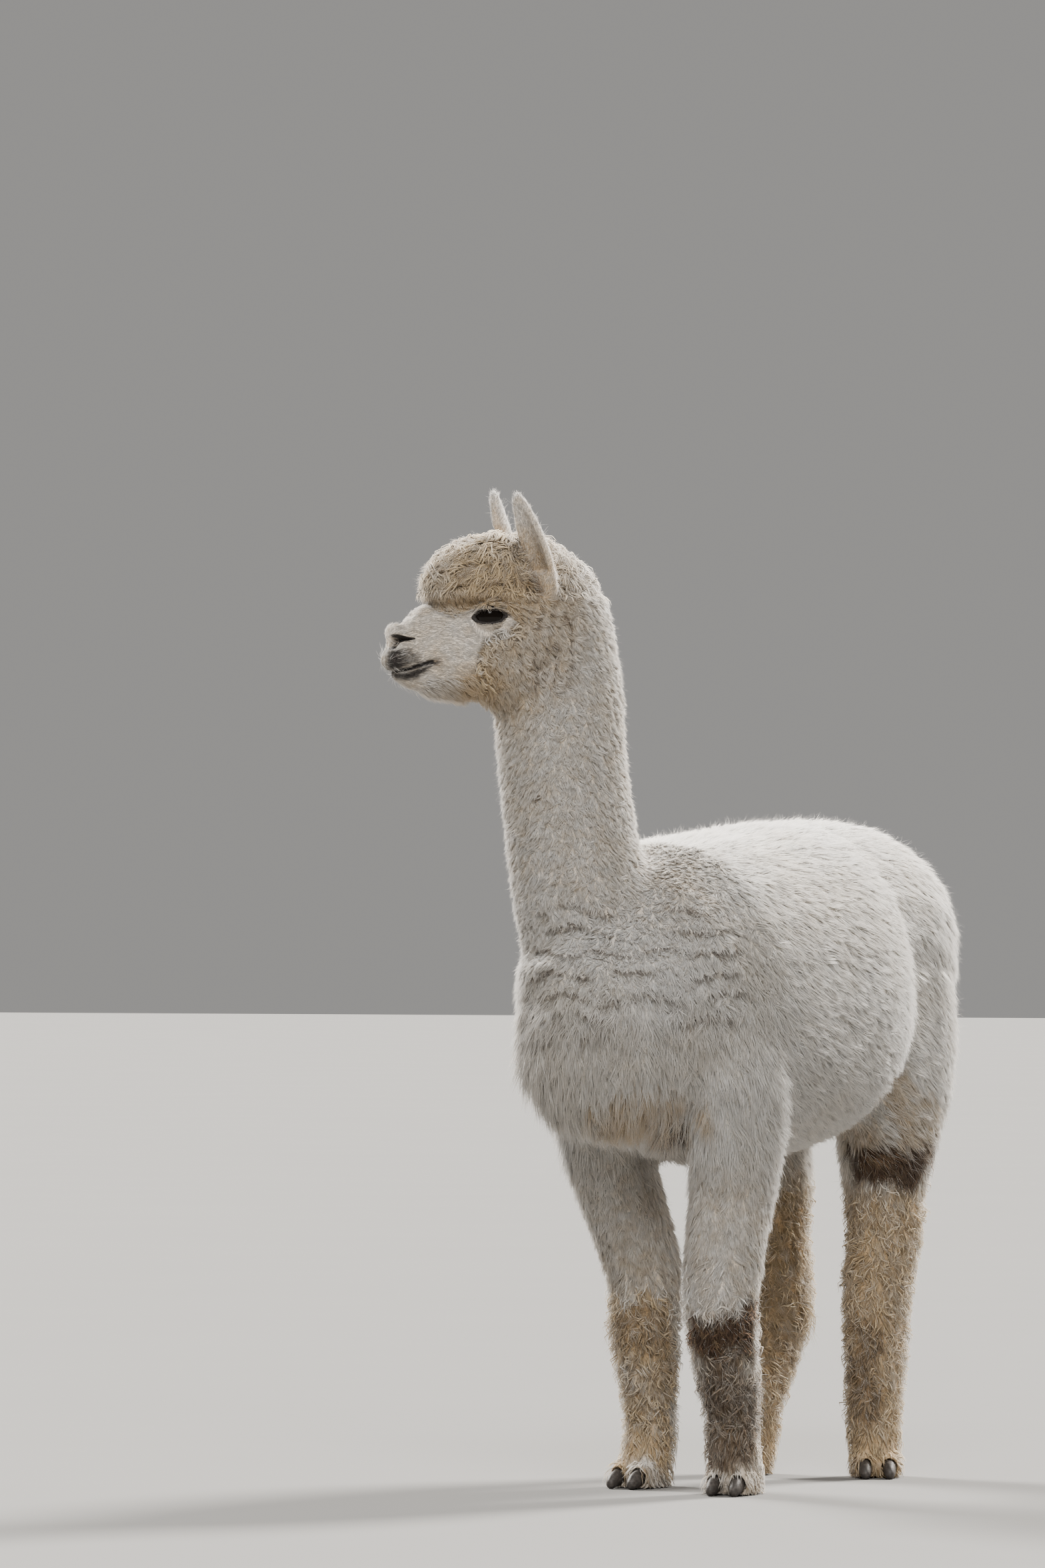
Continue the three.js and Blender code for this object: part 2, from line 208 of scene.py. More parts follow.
def region_weights(points, edges):
    """The share of each style of coat at each point of the unsunk skin, in the order of STYLE_NAMES."""
    verts, faces, owner = [], [], []
    for index, nodes in enumerate(REGION_NODES.values()):
        for node in nodes:
            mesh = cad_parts[node].data
            first = len(verts)
            verts += [vert.co.copy() for vert in mesh.vertices]
            faces += [[first + corner for corner in face.vertices] for face in mesh.polygons]
            owner += [index] * len(mesh.polygons)
    tree = BVHTree.FromPolygons(verts, faces)
    nearest = np.array([owner[tree.find_nearest(point)[2]] for point in map(Vector, points)])
    share = {name: (nearest == index).astype(float) for index, name in enumerate(REGION_NODES)}
    place = to_head(points)
    bare = smooth(inside_distance(side_view(place), FACE_OUTLINE), -3, 3)
    head = share["head"] + share["topknot"]
    _, y, z = points.T
    front = smooth(y, *TRUNK_TO_BREAST)
    low = smooth(z, *BREAST_TO_CHEST)
    shank = np.where(y > HIND_LEGS, smooth(z, *HIND_LEG_TO_SHANK), smooth(z, *FRONT_LEG_TO_SHANK))
    columns = {
        "trunk": share["trunk"] * (1 - front),
        "breast": share["trunk"] * front * (1 - low),
        "chest": share["trunk"] * front * low,
        "tail": share["tail"],
        "neck": share["neck"],
        "topknot": share["topknot"] * (1 - bare),
        "cheeks": share["head"] * (1 - bare),
        "face": head * bare,
        "ears": share["ears"],
        "legs": share["legs"] * (1 - shank),
        "shanks": share["legs"] * shank,
        "feet": share["feet"],
    }
    weights = np.stack([columns[name] for name in STYLE_NAMES], axis=1)
    away = smooth(distance_to(place, HEAD_MIDDLE), *NEAR_HEAD)
    weights = relax(weights, edges, 2, keep=0)
    return relax(weights, edges, 5, hold=1 - away, keep=0)


class Style:
    """How the locks of one region grow. Lengths in millimetres, angles in degrees from the skin."""

    FIELDS = (
        "depth", "lift", "length", "rise", "fall", "width", "cell", "gather", "mess", "crimp", "droop",
    )

    TABLE = {
        # depth of coat; straight lift, then length of the arc, the angle it starts and ends at; width of
        # a lock; width of a bunch, how far tips go to its middle; straying, radians; side wave; hang
        "trunk": (8, 1.6, 24, 37, -2, 2.1, 10, 0.48, 0.26, 0.7, 1),
        "breast": (8, 1.8, 15, 58, -8, 2.3, 8, 0.62, 0.50, 1.2, 2),
        "chest": (12, 2.4, 32, 40, -4, 1.9, 11, 0.45, 0.26, 1.5, 3),
        "tail": (12, 2.4, 34, 36, 0, 2.1, 12, 0.50, 0.26, 1.5, 4),
        "neck": (7, 1.8, 12.5, 62, -6, 2.3, 7, 0.62, 0.55, 0.9, 1),
        "topknot": (15, 3.0, 25, 66, -60, 1.9, 8.5, 0.62, 0.60, 2.8, 3),
        "cheeks": (7, 1.8, 12, 60, -4, 2.1, 7, 0.70, 0.45, 0.9, 2),
        "face": (1.4, 0.2, 7, 13, 3, 0.75, 5, 0.10, 0.20, 0.2, 0),
        "ears": (1.8, 0.3, 10, 20, 4, 0.8, 6, 0.15, 0.25, 0.3, 0),
        "legs": (7, 1.6, 18, 42, -8, 2.1, 8, 0.50, 0.35, 1.0, 2),
        "shanks": (7, 2.2, 22, 60, -52, 2.3, 12, 0.74, 0.75, 2.2, 3),
        "feet": (3, 0.8, 19, 46, -14, 1.9, 8, 0.45, 0.35, 0.8, 3),
    }

    @classmethod
    def table(cls, fleece):
        """A row for each of STYLE_NAMES, with the depths that the fleece settings say."""
        rows = {name: list(row) for name, row in cls.TABLE.items()}
        for name in ("trunk", "neck", "topknot", "legs"):
            rows[name][0] = getattr(fleece, name + "_depth") / MM
        rows["shanks"][0] = rows["legs"][0]
        return np.array([rows[name] for name in STYLE_NAMES])

    @classmethod
    def at(cls, weights, fleece):
        """The blended style at each point, as a dict of one array for each field."""
        blended = weights @ cls.table(fleece) / np.maximum(weights.sum(axis=1, keepdims=True), 1e-6)
        return dict(zip(cls.FIELDS, blended.T))


# ---------------------------------------------------------------- settings


def size_setting(name, description, millimetres):
    """A length that a user may change, given in millimetres."""
    return bpy.props.FloatProperty(
        name=name, description=description, default=millimetres * MM, min=0, unit="LENGTH", precision=4
    )


def colour_setting(name, description, default):
    """A colour that a user may change."""
    return bpy.props.FloatVectorProperty(
        name=name, description=description, default=default, size=3, min=0, max=1, subtype="COLOR"
    )


class AlpacaFleece(bpy.types.PropertyGroup):
    """Depths of the coat, the skin's grid and the size of the eyes."""

    trunk_depth: size_setting("Trunk", "Depth of the fleece on the trunk", 8)
    neck_depth: size_setting("Neck", "Depth of the fleece on the neck", 7)
    topknot_depth: size_setting("Topknot", "Depth of the curls on the crown", 16)
    legs_depth: size_setting("Legs", "Depth of the wool on the legs", 7)
    voxel: size_setting("Skin grid", "Grid that the skin is meshed on", 3.8)
    eye_radius: size_setting("Eye radius", "Radius of an eyeball", 21)


class AlpacaColours(bpy.types.PropertyGroup):
    """Colours of the coat, the bare skin, the eyes and the toenails."""

    white: colour_setting("White", "Fleece of the body", (0.87, 0.82, 0.75))
    cream: colour_setting("Cream", "Wool of the legs and cheeks", (0.73, 0.60, 0.43))
    tan: colour_setting("Tan", "Curls of the topknot", (0.60, 0.42, 0.235))
    # the stain colour is also painted in the coat's cracks as shade
    stain_and_painted_shade: colour_setting("Stain", "Brown stains on the legs", (0.062, 0.035, 0.020))
    # the bare skin's colour is also painted round the nostrils as shade
    skin: colour_setting("Bare skin", "Lips, lids and nostrils", (0.028, 0.024, 0.022))
    eye: colour_setting("Eye", "Iris", (0.006, 0.0035, 0.002))
    nail: colour_setting("Toenail", "Horn of the toenails", (0.040, 0.034, 0.030))
    floor: colour_setting("Floor", "Studio floor", (0.20, 0.197, 0.192))


# ---------------------------------------------------------------- node trees


class Value:
    """A node's output. Arithmetic on it adds Math nodes."""

    def __init__(self, finish, socket):
        self.finish = finish
        self.socket = socket

    def __add__(self, other):
        return self.finish.math("ADD", self, other)

    def __sub__(self, other):
        return self.finish.math("SUBTRACT", self, other)

    def __rsub__(self, other):
        return self.finish.math("SUBTRACT", other, self)

    def __mul__(self, other):
        return self.finish.math("MULTIPLY", self, other)

    __radd__ = __add__
    __rmul__ = __mul__


# Numbers of the colour sockets of a Mix node, which share their names with others.
MIX_SHARE, MIX_FIRST, MIX_SECOND, MIX_RESULT = 0, 6, 7, 2


def socket_name(word):
    """A socket's name from a keyword: specular_ior_level is the socket Specular IOR Level."""
    return word.replace("_", " ").title().replace("Ior", "IOR")


class Finish:
    """One material's node tree, with a Principled shader at its end."""

    def __init__(self, name, **uniform):
        self.material = bpy.data.materials.new(name)
        self.material.use_nodes = True
        self.tree = self.material.node_tree
        self.tree.nodes.clear()
        self.shader = self.tree.nodes.new("ShaderNodeBsdfPrincipled")
        for word, value in uniform.items():
            self.shader.inputs[socket_name(word)].default_value = value
        output = self.tree.nodes.new("ShaderNodeOutputMaterial")
        self.tree.links.new(self.shader.outputs[0], output.inputs["Surface"])

    def node(self, kind, settings=None, inputs=None, output=0):
        """Adds a node: its settings first, then a value or a link for each named or numbered input."""
        node = self.tree.nodes.new(kind)
        for setting, value in (settings or {}).items():
            setattr(node, setting, value)
        for socket, value in (inputs or {}).items():
            self.feed(node.inputs[socket], value)
        return Value(self, node.outputs[output])

    def feed(self, socket, value):
        """Links a value to a socket, or sets the socket to a number or colour."""
        if isinstance(value, Value):
            self.tree.links.new(value.socket, socket)
        else:
            socket.default_value = value

    def math(self, operation, first, second):
        """A Math node on two values or numbers."""
        return self.node("ShaderNodeMath", {"operation": operation}, {0: first, 1: second})

    def step(self, value, low, high):
        """0 below low and 1 above high."""
        inputs = {"Value": value, "From Min": low, "From Max": high}
        return self.node("ShaderNodeMapRange", {"interpolation_type": "SMOOTHSTEP"}, inputs)

    def mix(self, share, first, second):
        """Colour first turning to second as share goes from 0 to 1."""
        inputs = {MIX_SHARE: share, MIX_FIRST: self.opaque(first), MIX_SECOND: self.opaque(second)}
        return self.node("ShaderNodeMix", {"data_type": "RGBA"}, inputs, MIX_RESULT)

    def opaque(self, shade):
        """A colour with its alpha, or a value as it is."""
        return shade if isinstance(shade, Value) else (*shade, 1)

    def tint(self, shade, factor):
        """A colour made darker or lighter by a number."""
        return self.node("ShaderNodeVectorMath", {"operation": "SCALE"}, {0: shade, "Scale": factor})

    def parts(self, vector):
        """The three numbers of a vector."""
        first = self.node("ShaderNodeSeparateXYZ", inputs={"Vector": vector})
        return [Value(self, socket) for socket in first.socket.node.outputs]

    def attribute(self, name):
        """The three numbers kept for each point of a mesh, as a vector."""
        return self.node("ShaderNodeAttribute", {"attribute_name": name}, output="Vector")

    def noise(self, scale, detail=3):
        """Cloudy noise over the row frame, scale features to a metre."""
        place = self.node("ShaderNodeTexCoord", output="Object")
        inputs = {"Vector": place, "Scale": scale, "Detail": detail, "Roughness": 0.55}
        return self.node("ShaderNodeTexNoise", inputs=inputs)

    def bump(self, height, distance, strength, under=None):
        """Relief of a height in metres, over another relief if there is one."""
        inputs = {"Height": height, "Distance": distance, "Strength": strength}
        if under:
            inputs["Normal"] = under
        return self.node("ShaderNodeBump", inputs=inputs)

    def done(self, **varying):
        """Feeds what changes over the surface to the shader, and returns the material."""
        for word, value in varying.items():
            self.feed(self.shader.inputs[socket_name(word)], value)
        return self.material


# ---------------------------------------------------------------- the eyes

# Directions and sizes of an eye, in millimetres on the head's axes.
EYE_OUT = unit((-0.30, 0.94, 0.10))  # the way an eye looks: outwards and a little forwards
EYE_ALONG = unit(np.array((1.0, 0, 0.05)) - EYE_OUT * (EYE_OUT @ (1.0, 0, 0.05)))
EYE_AXES = np.array((EYE_ALONG, np.cross(EYE_ALONG, EYE_OUT), EYE_OUT))
EYE_REACH = 36  # how far from its middle an eye's slit, lids and sockets are looked for
SLIT = (20.0, 6.8, 8.8)  # half length of the open eye, height above its middle line and below it
LID = 2.0  # how far the lids stand off the eyeball
LID_FOLDS = ((0.8, 1.12, 0.14), (-0.7, 1.75, 0.18))  # height; middle and width, where the edge is at 1


def eye_places(points, side):
    """Places from the middle of one eye: along its slit, up it and out of it, in millimetres."""
    sign = 1 if side == "left" else -1
    place = (to_head(points) * (1, sign, 1)) - EYE_PLACE
    return place @ EYE_AXES.T


def slit(place):
    """Below 1 inside the open eye, above 1 outside it."""
    height = np.where(place[:, 1] > 0, SLIT[1], SLIT[2])
    return (np.abs(place[:, 0]) / SLIT[0]) ** 2.0 + (np.abs(place[:, 1]) / height) ** 1.7


# ---------------------------------------------------------------- markings

# Three numbers kept for each point of a mesh.
MARKS = "marks"  # tan, stain and bare dark skin; the stain also holds painted shade in the coat's cracks, and the dark painted shade round the nostrils
LOCK = "lock"  # root to tip, a number for each lock, lowered at a bunch's edge as painted shade, a number for each bunch
FACE_PARTS = "face_parts"  # the face's share and the cracks of the coat, which set the skin's painted shade, and a spare nought

# Stains: middle and half sizes in the row frame, in metres, and strength.
STAINS = (
    ((0.125, -0.220, 0.220), (0.085, 0.085, 0.050), 0.95),
    ((0.125, -0.180, 0.115), (0.090, 0.100, 0.120), 0.70),
    ((0.160, 0.215, 0.448), (0.086, 0.105, 0.035), 1.0),
    ((0.170, 0.215, 0.470), (0.070, 0.090, 0.055), 0.30),
    ((0.118, 0.195, 0.142), (0.034, 0.050, 0.080), 0.60),
    ((0.175, 0.300, 0.200), (0.040, 0.060, 0.110), 0.35),
    ((-0.050, -0.130, 0.225), (0.065, 0.060, 0.034), 0.46),
    ((-0.050, -0.130, 0.110), (0.080, 0.080, 0.110), 0.26),
    ((0.130, 0.230, 0.250), (0.080, 0.080, 0.200), 0.26),
    ((-0.052, 0.230, 0.160), (0.060, 0.060, 0.110), 0.32),
    ((0.088, -0.272, 0.492), (0.018, 0.022, 0.022), 0.90),
    ((0.000, -0.160, 0.440), (0.060, 0.060, 0.050), 0.40),
    ((-0.053, -0.414, 0.943), (0.006, 0.020, 0.006), 0.85),
)

# Where the coat is tan: middle and half sizes in the row frame, in metres, and strength.
TANS = (
    ((0.040, -0.320, 0.500), (0.110, 0.080, 0.060), 0.65),
    ((-0.050, -0.130, 0.222), (0.080, 0.080, 0.046), 1.0),
    ((-0.020, -0.130, 0.290), (0.040, 0.060, 0.060), 0.45),
    ((0.170, 0.250, 0.500), (0.090, 0.120, 0.080), 0.55),
    ((-0.050, -0.130, 0.100), (0.080, 0.080, 0.130), 0.80),
    ((0.130, -0.200, 0.120), (0.080, 0.090, 0.150), 0.55),
)

# Lines and outlines of the muzzle, millimetres behind and above the nose tip, seen from the side.
MOUTH_LINE = ((-12, -47), (6, -47), (24, -44), (42, -38), (56, -34))
NOSTRIL = (
    (3.5, -1), (6, 1.6), (11, 2), (18, 0.2), (25, -1.6), (33, -2.6), (25, -4.4), (18, -5.6), (13.5, -7.5),
    (11, -11), (9, -15), (6, -17), (4, -15), (2.8, -9),
)
UPPER_LIP = (
    (-2, -19), (7, -16), (22, -12), (35, -19), (43, -29), (62, -33), (60, -40), (35, -40), (12, -46),
    (2, -45), (-3, -37),
)
LOWER_LIP = ((2, -48), (24, -45), (42, -40), (62, -35), (50, -48), (38, -57), (22, -59), (8, -55))
EAR_FRINGE = ((174, 121), (184, 98), (194, 76), (200, 60))
CHEEK_CURLS = ((160, 5), (140, 1), (128, -10), (122, -23), (120, -39), (128, -56))
MOUTH_CORNER = (62, -34)

# Bands in height over which the tan of the legs and the neck comes in, in metres.
LEG_TANS = (0.52, 0.40)
HIND_LEG_TANS = (0.48, 0.36)
NECK_TAN = (0.66, 0.86)
SOLES = 0.03  # height below which the feet are soiled

# The cracks of the coat, in metres.
WINDING_CRACKS = 0.030  # from one to the next, on the cheeks
LEVEL_CRACKS = 0.030  # from one to the next, on the breast
LEVEL_MIDDLE, LEVEL_REACH = 0.70, 0.11  # height of the middle of the breast's cracks, and their reach


def nostril_side(place):
    """0 on the wall between the nostrils, 1 out beyond it. The openings slant outwards as they rise."""
    return smooth(np.abs(place[:, 1]) - 9 - 0.25 * place[:, 2], -1.5, 2.5)


def blobs(points, table):
    """The greatest of a table's soft-edged ellipsoids at each point."""
    most = np.zeros(len(points))
    wander = np.stack([ripple(points, 0.045, seed) for seed in (11, 12, 13)], axis=1) * 0.34
    for centre, sizes, strength in table:
        distance = np.linalg.norm((points - centre) / sizes + wander, axis=1)
        most = np.maximum(most, smooth(distance, 1.25, 0.60) * strength)
    return most


def parting(points):
    """1 along the cracks where the fleece parts: winding ones on the cheeks, level ones on the breast."""
    cheek = bell(distance_to(to_head(points), CHEEK, (60, 200, 75)), 1)
    lines = bell(ripple(points * (1, 1, 0.40), WINDING_CRACKS, 21), 0.36)
    winding = lines * smooth(ripple(points, 0.06, 24), -0.8, -0.2)
    breast = bell((points[:, 2] - LEVEL_MIDDLE) / LEVEL_REACH, 1) * smooth(points[:, 1], -0.20, -0.30)
    waves = np.sin(2 * math.pi * points[:, 2] / LEVEL_CRACKS + 1.7 * ripple(points, 0.09, 22))
    level = smooth(waves, 0.38, 0.90) * smooth(ripple(points, 0.06, 23), -0.6, 0.1)
    return np.maximum(winding * smooth(cheek, 0.25, 0.6), level * smooth(breast, 0.2, 0.6))


def eye_rim(points):
    """1 at the edge of the open eye, less inside it and more outside it; 9 away from the eyes."""
    rim = np.full(len(points), 9.0)
    for side in EYE_MIDDLES:
        place = eye_places(points, side)
        near = (place[:, 2] > 2) & (distance_to(place, 0) < EYE_REACH)
        rim = np.where(near, np.minimum(rim, np.sqrt(slit(place))), rim)
    return rim


def tan_marks(points, place, head):
    """The tan of the crown, cheeks, jaw, neck, legs and eye sockets, and of the blobs in TANS; on the
    cheeks it is partly painted shade.
    """
    side = side_view(place)
    _, y, z = points.T
    patchy = ripple(points, 0.05, 3) * 0.5 + ripple(points, 0.02, 4) * 0.5
    wool = head * smooth(inside_distance(side, FACE_OUTLINE), 2, -4)
    brow = bell(distance_to(place * (1, 0.7, 1), (140, 30, 70)), 62)
    jaw = bell(distance_to(side, (118, -66)), 32) * head
    neck = smooth(z, *NECK_TAN) * smooth(y, -0.20, -0.28)
    sockets = np.minimum(*[distance_to(eye_places(points, eye), 0) for eye in EYE_MIDDLES])
    # the head's wool is tan partly for its own beige-brown and partly as painted shade, raised for the
    # cheeks, which lie in the head's shadow
    return np.maximum.reduce((
        wool * (0.52 + 0.46 * brow) + 0.65 * jaw + neck * (0.30 + 0.12 * patchy) * (1 - wool),
        smooth(z, *LEG_TANS) * (0.34 + 0.14 * patchy),
        0.28 * bell(sockets, 34),
        smooth(z, *HIND_LEG_TANS) * (y > HIND_LEGS) * (0.86 + 0.22 * patchy),
        blobs(points, TANS) * (1 + 0.3 * patchy),
    ))


def stain_marks(points, place, head):
    """The brown of the mouth's corners, the ears' fringes and the soles, and of the blobs in STAINS."""
    side = side_view(place)
    left, above = np.abs(place[:, 1]), place[:, 2]
    corner = bell(distance_to(side, MOUTH_CORNER), 8) * head * (left > 12)
    fringe, _ = path_distance(side, EAR_FRINGE)
    return np.maximum.reduce((
        blobs(points, STAINS),
        0.6 * corner,
        0.55 * bell(fringe, 7) * smooth(left, 26, 34) * smooth(above, 20, 50),
        0.35 * (points[:, 2] < SOLES),
    ))


def bare_skin_and_painted_shade(points, place, head):
    """The dark bare skin of the lips, the nostrils and the edges of the eyelids, with painted shade round
    the nostrils.
    """
    side = side_view(place)
    behind = place[:, 0]
    mouth, _ = path_distance(side, MOUTH_LINE)
    nostril = inside_distance(side, NOSTRIL)
    muzzle = np.maximum.reduce((
        smooth(inside_distance(side, UPPER_LIP), -6, 7) * (0.60 + 0.24 * smooth(behind, 34, 4)),
        smooth(inside_distance(side, LOWER_LIP), -7, 7) * 0.86,
        bell(mouth, 4.5) * (behind < 66),
        smooth(nostril, -2.4, -0.4) * nostril_side(place),
        # painted shade: a soft grey round each nostril, for the shadow under the nose's wing
        0.42 * smooth(nostril, -10, -1) * nostril_side(place),
    ))
    return np.maximum(muzzle * (head * smooth(behind, 80, 66)), smooth(eye_rim(points), 1.34, 1.16))


def markings(points):
    """Tan, stain and bare dark skin at points of the row frame, each 0 to 1; the dark also holds painted
    shade round the nostrils.
    """
    place = to_head(points)
    head = smooth(distance_to(place, HEAD_MIDDLE), 175, 135)
    marks = [kind(points, place, head) for kind in (tan_marks, stain_marks, bare_skin_and_painted_shade)]
    return np.clip(np.stack(marks, axis=1), 0, 1)


# ---------------------------------------------------------------- meshes

MERGE = 0.01 * MM  # points closer than this are one


def points_of(mesh):
    """The place of every point of a mesh."""
    flat = np.empty(len(mesh.vertices) * 3)
    mesh.vertices.foreach_get("co", flat)
    return flat.reshape(-1, 3)


def edges_of(mesh):
    """The two points of every edge of a mesh."""
    flat = np.empty(len(mesh.edges) * 2, np.int32)
    mesh.edges.foreach_get("vertices", flat)
    return flat.reshape(-1, 2)


def normals_of(mesh):
    """The way that every point of a mesh faces."""
    flat = np.empty(len(mesh.vertices) * 3)
    mesh.vertex_normals.foreach_get("vector", flat)
    return flat.reshape(-1, 3)


def put_points(mesh, points):
    """Moves every point of a mesh."""
    mesh.vertices.foreach_set("co", points.ravel())
    mesh.update()


def store(mesh, name, vectors):
    """Keeps three numbers for each point of a mesh."""
    layer = mesh.attributes.new(name, "FLOAT_VECTOR", "POINT")
    layer.data.foreach_set("vector", np.ascontiguousarray(vectors, np.float32).ravel())


def merged_node(node):
    """A CAD node's mesh as a bmesh, with its loose triangles merged."""
    work = bmesh.new()
    work.from_mesh(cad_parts[node].data)
    bmesh.ops.remove_doubles(work, verts=work.verts, dist=MERGE)
    return work


def finished(work, name):
    """A new mesh from a bmesh, which is freed."""
    mesh = bpy.data.meshes.new(name)
    work.to_mesh(mesh)
    work.free()
    return mesh


def put_in_scene(name, data):
    """A new object that holds a mesh, a light or a camera."""
    obj = bpy.data.objects.new(name, data)
    bpy.context.collection.objects.link(obj)
    return obj


def applied(obj):
    """The object's mesh with its modifiers applied; the object is dropped."""
    bpy.context.view_layer.update()
    depsgraph = bpy.context.evaluated_depsgraph_get()
    mesh = bpy.data.meshes.new_from_object(obj.evaluated_get(depsgraph), depsgraph=depsgraph)
    bpy.data.objects.remove(obj)
    return mesh


# ---------------------------------------------------------------- the skin

CUT_OVERLAP = 1.0 * MM  # each node is swollen by this, to close the thin cuts
GRID_ROUNDS = 12  # of evening out, which take away the steps of the grid
MOST_FILL = 35 * MM  # how far the hollows between the rump's and the throat's nodes may be filled
FILL_ROUNDS = 260  # of evening out, which bridge those hollows
FACE_ROUNDS = 8  # of evening out of the refined face
FACE_REFINED, FACE_EVENED = 125, 118  # millimetres from FACE_MIDDLE within which each is done

# The hollows to fill, in metres: the rump's bands along y and in height; the throat's band along y, the
# height of its middle and its reach.
RUMP = ((0.10, 0.20), (0.54, 0.64))
THROAT = ((-0.22, -0.30), 0.74, 0.09)

# Where the coat stands out more or less: middle in the row frame, reach and height, in metres.
RUFFS = (
    ((-0.085, -0.360, 0.550), 0.070, 0.020),
    ((-0.085, -0.385, 0.675), 0.032, -0.010),
    ((-0.092, -0.370, 0.728), 0.028, 0.012),
    ((-0.030, -0.405, 0.745), 0.030, 0.005),
)
LEAST_SUNK = 0.15  # the part of the coat's depth that the skin always lies in
CRACK_DEPTH = 6  # how much deeper the skin lies where the coat parts, in millimetres
SKIN_TRIANGLES = 92000  # before the face is refined
FINE_REACH = 170  # millimetres from FINE_MIDDLE within which the skin isn't thinned


def whole_flesh():
    """Every flesh node in one mesh, each merged and slightly swollen. The eyes fill their sockets."""
    flesh = bmesh.new()
    for node in (*FLESH, "eye_left", "eye_right"):
        part = merged_node(node)
        bmesh.ops.recalc_face_normals(part, faces=part.faces)
        part.normal_update()
        for vert in part.verts:
            vert.co += vert.normal * CUT_OVERLAP
        swollen = finished(part, "swollen")
        flesh.from_mesh(swollen)
        bpy.data.meshes.remove(swollen)
    return finished(flesh, "flesh")


def remeshed(mesh, voxel):
    """One closed surface over all the nodes, with fewer triangles where wool hides it."""
    obj = put_in_scene("flesh", mesh)
    remesh = obj.modifiers.new("remesh", "REMESH")
    remesh.mode = "VOXEL"
    remesh.voxel_size = voxel
    mesh = applied(obj)
    far = distance_to(to_head(points_of(mesh)), FINE_MIDDLE) > FINE_REACH
    obj = put_in_scene("flesh", mesh)
    group = obj.vertex_groups.new(name="hidden")
    group.add(np.flatnonzero(far).tolist(), 1, "REPLACE")
    thin = obj.modifiers.new("thin", "DECIMATE")
    thin.ratio = SKIN_TRIANGLES / (2 * len(mesh.polygons))
    thin.vertex_group = group.name
    return applied(obj)


def smooth_flesh(mesh):
    """Evens out the steps of the grid, and fills the hollows over the rump and in the throat."""
    edges = edges_of(mesh)
    points = relax(points_of(mesh), edges, GRID_ROUNDS)
    put_points(mesh, points)
    _, y, z = points.T
    rump = smooth(y, *RUMP[0]) * smooth(z, *RUMP[1])
    band, high, reach = THROAT
    throat = bell((z - high) / reach, 1) * smooth(y, *band)
    filled = relax(points, edges, FILL_ROUNDS, hold=1 - np.maximum(rump, throat), keep=0) - points
    outward = normals_of(mesh)
    fill = outward * np.clip((filled * outward).sum(axis=1), 0, MOST_FILL)[:, None]
    put_points(mesh, relax(points + relax(fill, edges, 3, keep=0), edges, 4))


def refine(mesh, chosen):
    """Halves every edge whose two ends are chosen, a bool for each vertex."""
    work = bmesh.new()
    work.from_mesh(mesh)
    edges = [edge for edge in work.edges if chosen[edge.verts[0].index] and chosen[edge.verts[1].index]]
    bmesh.ops.subdivide_edges(work, edges=edges, cuts=1, use_grid_fill=True)
    work.to_mesh(mesh)
    work.free()


def refine_face(mesh):
    """Refines the bare face, then the muzzle and the eye sockets again, then the lids once more."""
    for margin, close in ((8, False), (-6, True)):
        place = to_head(points_of(mesh))
        bare = inside_distance(side_view(place), FACE_OUTLINE) > -margin
        near = distance_to(place, FACE_MIDDLE) < FACE_REFINED
        if close:
            near &= (place[:, 0] < 60) | (distance_to(np.abs(place), EYE_PLACE) < EYE_REACH)
        refine(mesh, bare & near)
    rim = eye_rim(points_of(mesh))
    refine(mesh, (rim > 0.6) & (rim < 1.45))


def shape_eyes(points, radius):
    """Lifts the skin over each eyeball as lids, and sinks it inside the slit between them."""
    for side, centre in EYE_MIDDLES.items():
        place = eye_places(points, side)
        reach = distance_to(place, 0)
        slant = place[:, 2] / np.maximum(reach, 1e-6)
        near = (slant > 0.05) & (reach < 60)
        gap = np.sqrt(slit(place))
        lid = radius + LID
        for height, middle_gap, width in LID_FOLDS:
            lid = lid + height * bell(gap - middle_gap, width)
        out = 0.5 * (reach + lid + np.sqrt((reach - lid) ** 2 + 6))
        out = np.where(reach > lid + 12, reach, out)
        new = out + (radius - 5 - out) * smooth(gap, 1.08, 0.82)
        blend = smooth(slant, 0.05, 0.3)
        scale = 1 + (new / np.maximum(reach, 1e-6) - 1) * blend * near
        points = centre + (points - centre) * scale[:, None]
    return points


# How far the front of the muzzle goes back, against the height above the nose tip, in millimetres.
PROFILE = (
    (-76, 0), (-67, 3), (-58, 6), (-49, 8), (-44, 8), (-34, 5), (-26, 5), (-18, 9.5), (-12, 8),
    (-5, 4), (4, -3), (10, -9), (17, -17), (24, -4), (30, 0),
)
BRIDGE = ((37, 24, 9, 12), (57, 38, 4, 10))  # behind, above, height and reach of the bridge's rises

# Folds of the muzzle's sides: behind and above the nose tip, how much longer than high, height and reach.
MUZZLE_FOLDS = ((21, 20, 1, -1.8, 4), (12, -34, 1.8, 1.8, 8), (20, -56, 1.6, 1.4, 8))


def push_front(points):
    """Sets the outline of the muzzle's front: nose bulb, notch below it, lips and chin."""
    place = to_head(points)
    shift = np.interp(place[:, 2], *zip(*PROFILE)) * smooth(place[:, 0], 48, 6)
    return points + BACKWARD * (shift * smooth(np.abs(place[:, 1]), 60, 40) * MM)[:, None]


